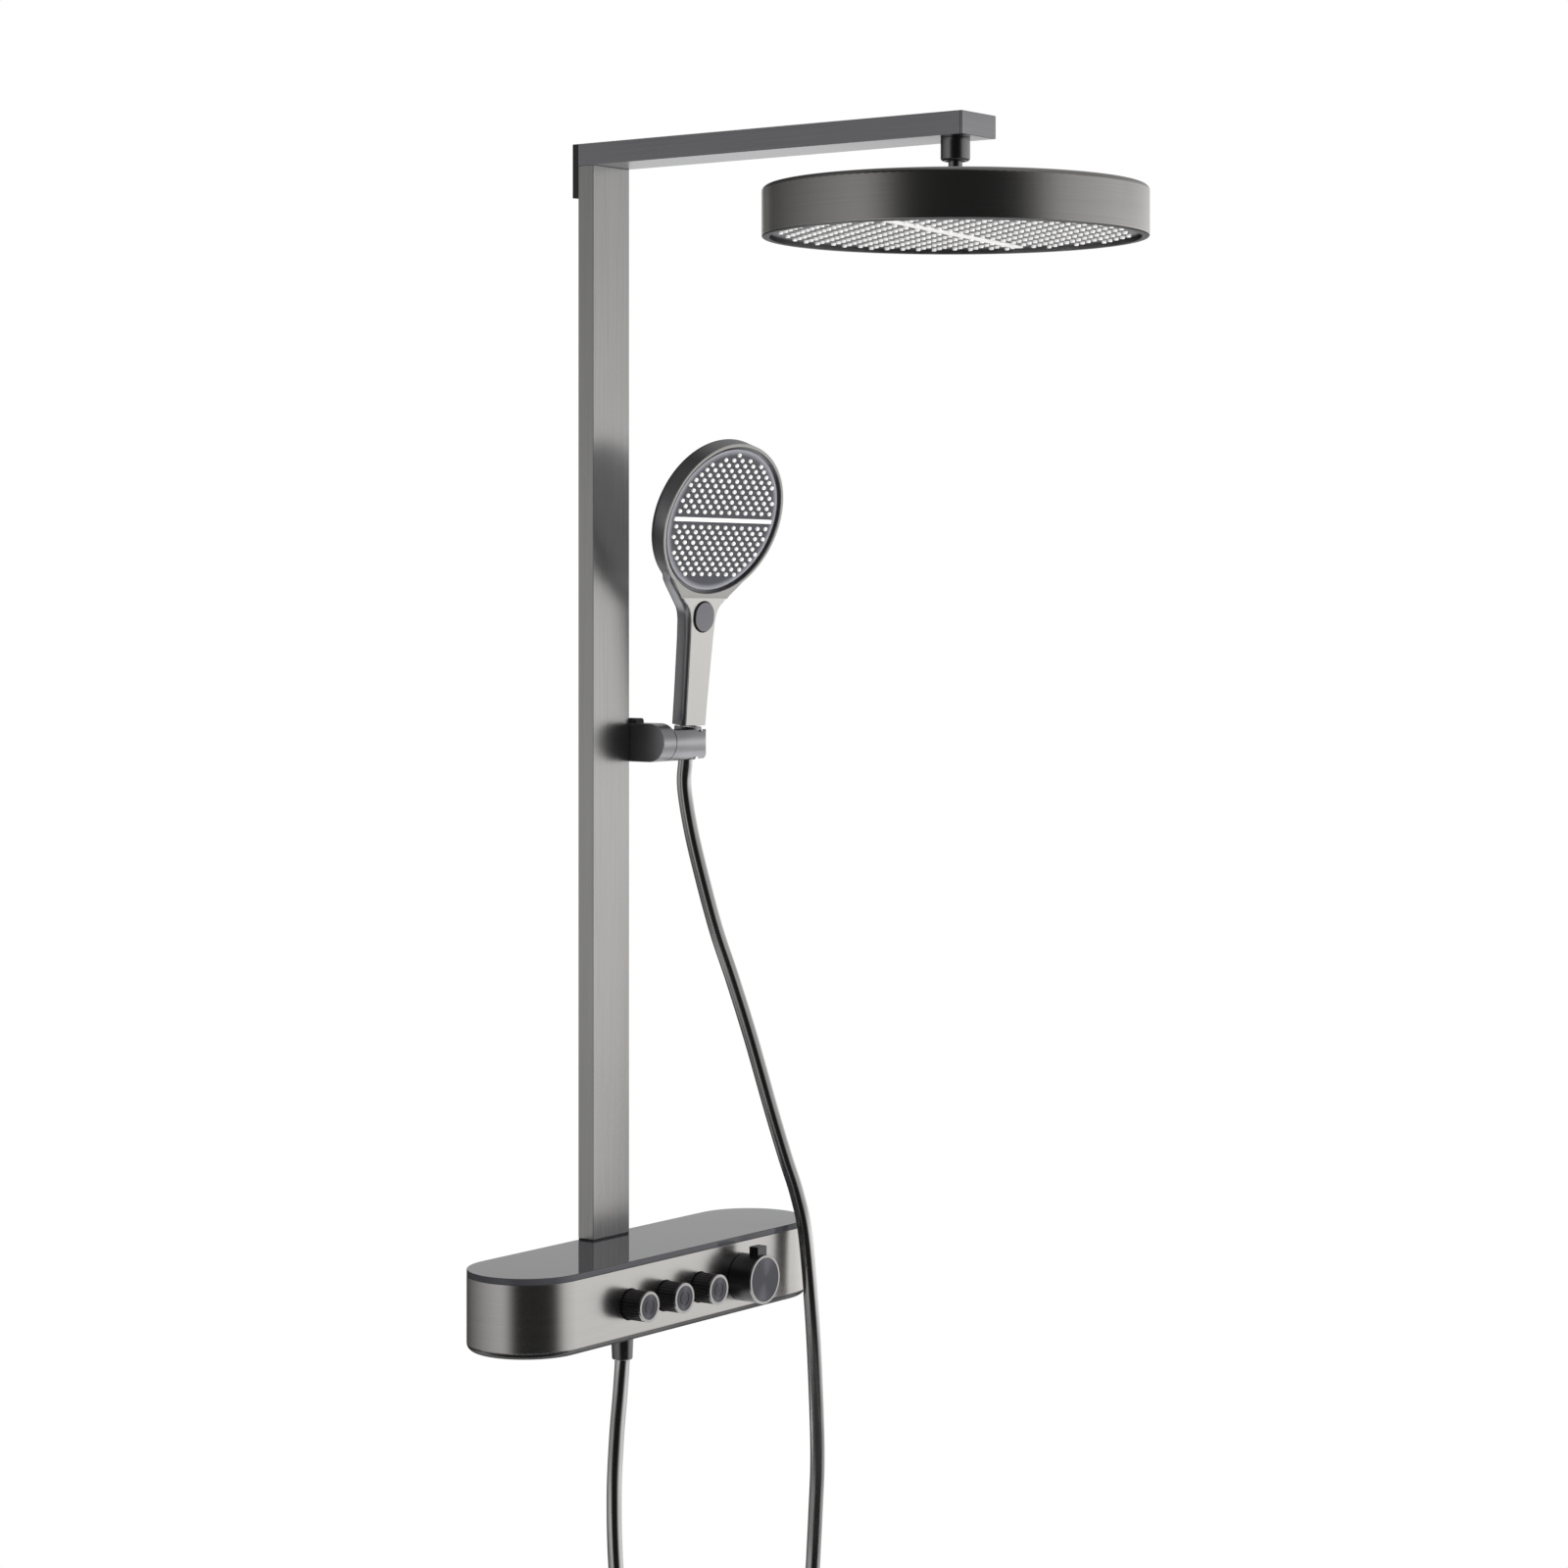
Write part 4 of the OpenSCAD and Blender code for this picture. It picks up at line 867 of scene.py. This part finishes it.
@dataclass
class Studio:
    """Camera, floor, lamps and surround.

    A fade is the range in which one tone goes over into the next: a distance from the middle on
    the floor, and a share of a direction in the surround.
    """

    camera_place: Point = (-2.388, -1.986, 0.578)
    camera_turn: float = -53.98
    lens: float = 85.6
    shift: tuple[float, float] = (-0.0318, -0.1299)
    sensor: float = 36.0
    floor_z: float = -0.75
    floor_size: float = 1.35
    floor_tone: float = 0.86
    floor_fade: tuple[float, float] = (0.45, 1.25)
    floor_dark: float = 0.04
    floor_dark_reach: float = 0.3
    front_fade: tuple[float, float] = (0.5, 0.86)
    front_tone: float = 0.012
    front_level: float = 0.1
    front_lean: float = 1.1
    side_fade: tuple[float, float] = (-0.3, -0.02)
    left_box: float = 0.4
    left_gain: float = 0.36
    right_box: float = 0.87
    right_loss: float = 0.38
    box_drop: float = 0.065
    box_tightness: float = 30.0
    box_peak: float = 0.75
    box_base: float = 0.3
    ground_fade: tuple[float, float] = (0.36, 0.6)
    ground_tone: float = 0.72
    back_fade: tuple[float, float] = (0.93, 0.985)
    back_top: float = 0.25
    back_loss: float = 0.35

    def ahead(self) -> tuple[float, float]:
        """The level direction in which the camera looks."""
        turn = math.radians(self.camera_turn)
        return -math.sin(turn), math.cos(turn)

    def camera(self) -> None:
        """Adds the camera and makes it the scene's."""
        data = bpy.data.cameras.new("camera")
        data.lens = self.lens
        data.sensor_width = self.sensor
        data.shift_x, data.shift_y = self.shift
        obj = bpy.data.objects.new("camera", data)
        obj.location = self.camera_place
        obj.rotation_euler = (math.radians(90), 0.0, math.radians(self.camera_turn))
        bpy.context.scene.collection.objects.link(obj)
        bpy.context.scene.camera = obj

    def floor(self) -> None:
        """Adds the pale floor, which turns into the white surround farther out.

        Seen in the metal, its part in front of the object is as dark as the studio there.
        """
        shape = bmesh.new()
        bmesh.ops.create_circle(shape, cap_ends=True, segments=96, radius=self.floor_size)
        bmesh.ops.translate(shape, verts=shape.verts, vec=(0, 0, self.floor_z))
        mesh = bpy.data.meshes.new("floor")
        shape.to_mesh(mesh)
        shape.free()
        paint = Paint("pale floor")
        x, y, _ = paint.parts(paint.place())
        far = (x * x + y * y).root().ramp(*self.floor_fade)
        near = paint.node("ShaderNodeBsdfDiffuse", None, {"Color": (self.floor_tone,) * 3})
        glow = paint.node("ShaderNodeEmission", None, {"Color": (1.0, 1.0, 1.0), "Strength": 1.0})
        rays = paint.node("ShaderNodeLightPath")
        to_eye, in_metal, through = (Value(paint, rays.outputs[name]) for name in (
            "Is Camera Ray", "Is Glossy Ray", "Is Transmission Ray"))
        seen = (to_eye + in_metal + through) * far
        mix = paint.node("ShaderNodeMixShader", None, {0: seen, 1: near.outputs[0],
                                                       2: glow.outputs[0]})
        ahead = self.ahead()
        front = (x * -ahead[0] + y * -ahead[1]).ramp(0.0, self.floor_dark_reach) * in_metal
        dark = paint.node("ShaderNodeBsdfDiffuse", None, {"Color": (self.floor_dark,) * 3})
        mix = paint.node("ShaderNodeMixShader", None, {0: front, 1: mix.outputs[0],
                                                       2: dark.outputs[0]})
        paint.node("ShaderNodeOutputMaterial", None, {"Surface": mix.outputs[0]})
        new_object("floor", mesh, paint.material)

    def lamp(self, name: str, place: Point, aim: Point, size: tuple[float, float],
             power: float) -> None:
        """Adds one soft rectangular lamp.

        Args:
            name: Its name.
            place: Where it stands.
            aim: The point it shines at.
            size: Its width and height.
            power: Its power in watts.
        """
        data = bpy.data.lights.new(name, "AREA")
        data.shape = "RECTANGLE"
        data.size, data.size_y = size
        data.energy = power
        obj = bpy.data.objects.new(name, data)
        obj.location = place
        obj.rotation_euler = (Vector(aim) - Vector(place)).to_track_quat("-Z", "Y").to_euler()
        obj.visible_glossy = False
        bpy.context.scene.collection.objects.link(obj)

    def surround(self) -> None:
        """Makes the surround: white to the eye, and to the object the tones of a studio.

        The studio is dark towards the camera, has a wide soft box on the right and a greyer one
        on the left, both brightest a little below level, is pale underneath and white behind
        the object.
        """
        world = bpy.data.worlds.new("surround")
        world.use_nodes = True
        bpy.context.scene.world = world
        paint = Paint("surround", world.node_tree)
        direction = paint.node("ShaderNodeTexCoord").outputs["Generated"]
        x, y, up = paint.parts(direction)
        ahead = self.ahead()
        near = x * -ahead[0] + y * -ahead[1]
        right = x * ahead[1] + y * -ahead[0]
        dark = (near + right * (self.front_level - up) * self.front_lean).ramp(*self.front_fade)
        side = paint.blended(right.ramp(*self.side_fade), self.left_box + near * self.left_gain,
                             self.right_box - near * self.right_loss)
        level = up + self.box_drop
        height = (level * level * -self.box_tightness).exponent() * self.box_peak + self.box_base
        behind = (0.0 - near).ramp(*self.back_fade)
        studio = side * (1.0 - dark) * height + dark * self.front_tone
        ground = (0.0 - up).ramp(*self.ground_fade)
        studio = paint.blended(ground, studio, self.ground_tone)
        tone = paint.blended(behind, studio, 1.0 - up.ramp(0.0, self.back_top) * self.back_loss)
        mirrored = paint.between(tone, (0.0, 0.0, 0.0), (1.0, 1.0, 1.0))
        seen = paint.node("ShaderNodeBackground", None, {"Color": (1.0, 1.0, 1.0), "Strength": 1.0})
        lit = paint.node("ShaderNodeBackground", None, {"Color": mirrored, "Strength": 1.0})
        rays = paint.node("ShaderNodeLightPath")
        direct = Value(paint, rays.outputs["Is Camera Ray"]) + Value(
            paint, rays.outputs["Is Transmission Ray"])
        mix = paint.node("ShaderNodeMixShader", None, {0: direct, 1: lit.outputs[0],
                                                       2: seen.outputs[0]})
        paint.node("ShaderNodeOutputWorld", None, {"Surface": mix.outputs[0]})

    def build(self) -> None:
        """Adds the floor, the lamps and the surround."""
        self.floor()
        self.lamp("right strip", place=(2.2, -3.0, 1.6), aim=(0.0, -0.1, 0.4), size=(1.6, 2.6),
                  power=110.0)
        self.lamp("left strip", place=(-3.2, -0.6, 1.3), aim=(0.0, -0.1, 0.4), size=(1.0, 2.4),
                  power=40.0)
        self.lamp("low fill", place=(-0.6, -2.2, -0.5), aim=(0.0, -0.3, 0.7), size=(1.6, 1.0),
                  power=45.0)
        self.lamp("top", place=(-0.4, -0.9, 3.2), aim=(0.0, -0.2, 0.3), size=(2.4, 2.4),
                  power=60.0)
        self.surround()
        scene = bpy.context.scene
        scene.view_settings.view_transform = "Standard"


# ------------------------------------------------------------------ hose


@dataclass
class Hose:
    """Flexible hose from the shelf's outlet round into the cradle."""

    finishes: Finishes
    diameter: float = 0.0125
    length: float = 1.5
    steps: int = 8
    skin_gap: float = 0.00003

    def centreline(self) -> list[Point]:
        """Runs a smooth curve through the route, of the same kind as the solid's.

        Returns:
            Points along the curve, a few on each stretch of the route.
        """
        points = []
        last = len(HOSE_ROUTE) - 1
        for k in range(last * self.steps + 1):
            i = min(k // self.steps, last - 1)
            t = k / self.steps - i
            a, b, c, d = (Vector(HOSE_ROUTE[min(max(n, 0), last)])
                          for n in (i - 1, i, i + 1, i + 2))
            point = 0.5 * (2 * b + (c - a) * t + (2 * a - 5 * b + 4 * c - d) * t * t
                           + (3 * b - a - 3 * c + d) * t ** 3)
            points.append(tuple(point))
        return points

    def build(self) -> bpy.types.Object:
        """Returns:
            The hose.
        """
        points = self.centreline()
        chain = bpy.data.meshes.new("hose")
        chain.from_pydata(points, [(i, i + 1) for i in range(len(points) - 1)], [])
        tube = grown("hose.dressed", sweep_tree(self.finishes.hose),
                     {"Tube radius": self.diameter / 2 - self.skin_gap}, chain)
        finish_mesh(tube, 60)
        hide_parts("hose")
        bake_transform(tube)
        return tube


# ------------------------------------------------------------------ sub-assemblies


@dataclass
class Shelf:
    """Shell, glass top, valve and what is under the shelf."""

    finishes: Finishes

    def build(self) -> list[bpy.types.Object]:
        """Dresses the shelf.

        Returns:
            The new pieces.
        """
        f = self.finishes
        for node in ("glass_tray", "column_gasket"):
            dress(node, f.black)
        for node in ("valve_body", "column_foot", "arm_elbow"):
            dress(node, f.brass)
        for node in ("thermostatic_cartridge", "flow_cartridge_1", "flow_cartridge_2",
                     "flow_cartridge_3"):
            dress(node, f.acetal)
        for node in ("inlet_unions", "union_nuts", "hose_outlet_nipple"):
            dress(node, f.chrome)
        for node in ("riser_tube", "arm_water_pipe"):
            dress(node, f.copper)
        dress("wall_flanges", f.nut)
        return [
            # The shell's downward faces take the darker underside finish as painted shade.
            softened("shelf_shell", f.shelf, width=0.0003, second=f.underside,
                     chosen=looking_along(Vector((0, 0, -1)), least=0.12)),
            softened("shelf_glass", f.glass, width=0.0006, segments=3),
            softened("lower_hose_nut", f.nut, width=0.0002),
        ]


@dataclass
class Controls:
    """Flow knobs and the temperature knob."""

    finishes: Finishes
    rim_depth: float = 0.0012

    def rimmed(self, node: str) -> bpy.types.Object:
        """Dark knob whose outer rim is bright."""
        rim_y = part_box(node)[0].y + self.rim_depth
        return softened(node, self.finishes.knob, width=0.0002, second=self.finishes.knob_rim,
                        chosen=before(rim_y))

    def control(self, knob: str, cap: str, stem: str) -> list[bpy.types.Object]:
        """Dresses one knob with its cap and stem.

        Args:
            knob: Node of the knob.
            cap: Node of its cap.
            stem: Node of its stem.

        Returns:
            The new pieces.
        """
        low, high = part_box(cap)
        spun = SpunMetal("spun " + cap.replace("_", " "), srgb("626268"),
                         tuple((low + high) / 2)).make()
        dress(stem, self.finishes.chrome)
        return [self.rimmed(knob), softened(cap, spun, width=0.0001)]

    def build(self) -> list[bpy.types.Object]:
        """Dresses the flow knobs from left to right, then the temperature knob.

        Returns:
            The new pieces.
        """
        pieces = []
        for i in (1, 2, 3):
            pieces += self.control(f"flow_knob_{i}", f"flow_cap_{i}", f"flow_stem_{i}")
        return pieces + self.control("temperature_knob", "temperature_cap", "temperature_stem")


@dataclass
class Column:
    """Column, arm and what holds them."""

    finishes: Finishes

    def build(self) -> list[bpy.types.Object]:
        """Dresses the column and arm.

        Returns:
            The new pieces.
        """
        f = self.finishes
        dress("arm_grub_screws", f.black)
        return [
            softened("column_tube", f.column, width=0.0005, segments=3),
            softened("arm_tube", f.arm, width=0.0005, segments=3),
            softened("arm_end_cap", f.arm_end, width=0.0005, segments=3),
            softened("wall_bracket", f.bracket, width=0.0005),
            softened("swivel_collar", f.nut, width=0.0003),
        ]


@dataclass
class Overhead:
    """Drum of the overhead shower with its nozzles and cascade strip."""

    finishes: Finishes
    pattern_turn: float = 7.8
    row_pitch: float = 0.0094
    margin: float = 0.0081
    nozzle_r: float = 0.0021
    nozzle_h: float = 0.0021
    lip_h: float = 0.006
    under_share: float = 0.4

    def nozzles(self) -> bpy.types.Object:
        """Builds the nozzle field under the drum.

        Returns:
            The nozzles, as one piece.
        """
        low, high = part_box("head_spray_plate")
        centre = (low + high) / 2
        values = {"Radius": (high.x - low.x) / 2 - self.margin, "Step": 2 * self.row_pitch,
                  "Row pitch": self.row_pitch, "First row": self.row_pitch,
                  "Nozzle radius": self.nozzle_r, "Nozzle height": self.nozzle_h}
        tree = nozzle_tree(self.finishes.silicone, self.finishes.painted_mouth_shade)
        field_ = grown("head_nozzles.dressed", tree, values)
        place = (Matrix.Translation((centre.x, centre.y, low.z))
                 @ Matrix.Rotation(math.radians(self.pattern_turn), 4, "Z")
                 @ Matrix.Rotation(math.pi, 4, "X"))
        field_.data.transform(place)
        finish_mesh(field_)
        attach(field_, HEAD)
        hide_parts("head_nozzles")
        return field_

    def lip_test(self) -> FaceTest:
        """Makes the test for the drum's underside and the lip round the plate.

        Returns:
            The test.
        """
        low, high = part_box("head_shell")
        centre, top_z = (low + high) / 2, low.z + self.lip_h

        def in_lip(face: bmesh.types.BMFace) -> bool:
            """Tells whether a face belongs to them.

            Args:
                face: The face.

            Returns:
                True where it does.
            """
            middle = face.calc_center_median()
            inside = (middle - centre).xy.dot(face.normal.xy) < 0
            return face.normal.z < -self.under_share or (inside and middle.z < top_z)

        return in_lip

    def plate_finish(self) -> bpy.types.Material:
        """Makes the plate's finish, darker among the nozzles.

        Returns:
            The material.
        """
        low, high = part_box("head_spray_plate")
        centre = (low + high) / 2
        return SprayFace("head spray plate", srgb("47474e"), srgb("3b3b41"),
                         (centre.x, centre.y, low.z), (high.x - low.x) / 2 - self.margin / 2).make()

    def build(self) -> list[bpy.types.Object]:
        """Dresses the overhead shower.

        Returns:
            The new pieces.
        """
        f = self.finishes
        dress("ball_seat", f.acetal)
        return [
            # The drum's underside and the lip round the plate take the darker underside finish as
            # painted shade.
            softened("head_shell", f.drum, width=0.0003, second=f.underside,
                     chosen=self.lip_test()),
            softened("head_spray_plate", self.plate_finish(), width=0.0002),
            softened("head_waterfall_strip", f.silicone, width=0.0004),
            softened("ball_neck", f.nut, width=0.0003),
            self.nozzles(),
        ]


@dataclass
class Holder:
    """Sliding holder and its tilting cradle."""

    finishes: Finishes

    def build(self) -> list[bpy.types.Object]:
        """Dresses the holder.

        Returns:
            The new pieces.
        """
        f = self.finishes
        dress("holder_foot", f.acetal)
        dress("pivot_screw", f.chrome)
        return [
            softened("holder_arm", f.holder, width=0.0006, segments=3),
            softened("cradle", f.holder, width=0.0005, segments=3),
            softened("cradle_liner", f.black, width=0.0002),
            softened("release_tab", f.black, width=0.0004),
            softened("upper_hose_nut", f.nut, width=0.0003),
        ]


@dataclass
class HandShower:
    """Hand shower on its leaning, slightly turned axis."""

    finishes: Finishes
    lean: float = 5.3
    turn: float = 7.0
    face_angle: float = 13.8
    face_along: float = 0.1877
    face_ahead: float = 0.0252
    neck: tuple[float, float] = (0.1402, 0.1425)
    tuck_r: float = 0.0668
    spray_top: float = -0.0022
    field_r: float = 0.0568
    step: float = 0.0096
    row_pitch: float = 0.00456
    first_row: float = 0.0066
    lowest: float = -0.05
    nozzle_r: float = 0.0018
    nozzle_h: float = 0.0018

    def pivot(self) -> Vector:
        """The point on the handle's axis that the hand shower turns about."""
        joint = next(j for j in frame["joints"] if j["name"] == "handset_turn")
        return Vector(joint["pos_m"])

    def handle_place(self) -> Matrix:
        """Frame of the handle: origin on the pivot, +Z along the handle."""
        return (Matrix.Translation(self.pivot()) @ Matrix.Rotation(math.radians(self.lean), 4, "X")
                @ Matrix.Rotation(math.radians(-self.turn), 4, "Z"))

    def face_place(self) -> Matrix:
        """Frame of the face: origin at its centre, +Z out of it."""
        return (self.handle_place() @ Matrix.Translation((0, -self.face_ahead, self.face_along))
                @ Matrix.Rotation(math.radians(90 + self.face_angle), 4, "X"))

    def nozzles(self) -> bpy.types.Object:
        """Builds the nozzle field of the spray face.

        Returns:
            The nozzles, as one piece.
        """
        values = {"Radius": self.field_r, "Step": self.step, "Row pitch": self.row_pitch,
                  "First row": self.first_row, "Lowest": self.lowest,
                  "Nozzle radius": self.nozzle_r, "Nozzle height": self.nozzle_h}
        tree = nozzle_tree(self.finishes.silicone, self.finishes.painted_mouth_shade)
        field_ = grown("handset_nozzles.dressed", tree, values)
        field_.data.transform(self.face_place() @ Matrix.Translation((0, 0, self.spray_top)))
        finish_mesh(field_)
        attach(field_, HANDSET)
        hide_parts("handset_nozzles")
        return field_

    def plate_finish(self) -> bpy.types.Material:
        """Finish of the spray face: a lighter border round the darker nozzle field."""
        centre = tuple(self.face_place() @ Vector((0, 0, self.spray_top)))
        return SprayFace("hand shower spray face", srgb("8a8a90"), srgb("46464b"), centre,
                         self.field_r + self.nozzle_r).make()

    def tucked(self, obj: bpy.types.Object) -> bpy.types.Object:
        """Draws the end of the neck's flare in, so that it runs into the face's edge.

        Args:
            obj: The hand shower's shell.

        Returns:
            The same object.
        """
        place, back = self.face_place(), self.face_place().inverted()
        along = self.handle_place().inverted()
        for vertex in obj.data.vertices:
            spot = back @ vertex.co
            height = (along @ vertex.co).z
            if self.neck[0] < height < self.neck[1] and spot.xy.length > self.tuck_r:
                spot.xy = spot.xy.normalized() * self.tuck_r
                vertex.co = place @ spot
        obj.data.update()
        return obj

    def build(self) -> list[bpy.types.Object]:
        """Dresses the hand shower.

        Returns:
            The new pieces.
        """
        f = self.finishes
        dress("handset_connector", f.chrome)
        return [
            self.tucked(softened("handset_body", f.shell, width=0.0003)),
            softened("handset_front", f.front, width=0.0003),
            softened("handset_spray_plate", self.plate_finish(), width=0.0002),
            softened("handset_jet_strip", f.silicone, width=0.0002),
            # The button's side wall takes the matt black finish as painted shade, for the shadow on
            # it.
            softened("handset_button", f.button, width=0.0004, second=f.black,
                     chosen=looking_along(self.handle_place().to_3x3() @ Vector((0, -1, 0)),
                                          least=-2.0, most=0.5)),
            self.nozzles(),
        ]


# ------------------------------------------------------------------ all


def main() -> None:
    """Builds the camera and the hose, then every sub-assembly in order."""
    logging.basicConfig(level=logging.INFO, format="%(message)s")
    studio = Studio()
    studio.camera()
    finishes = Finishes()
    hose = Hose(finishes).build()
    LOG.info("hose: %d faces", len(hose.data.polygons))
    studio.build()
    for assembly in (Shelf(finishes), Controls(finishes), Column(finishes), Overhead(finishes),
                     Holder(finishes), HandShower(finishes)):
        for piece in assembly.build():
            LOG.info("%s: %d faces", piece.name, len(piece.data.polygons))


if __name__ == "__main__":
    main()
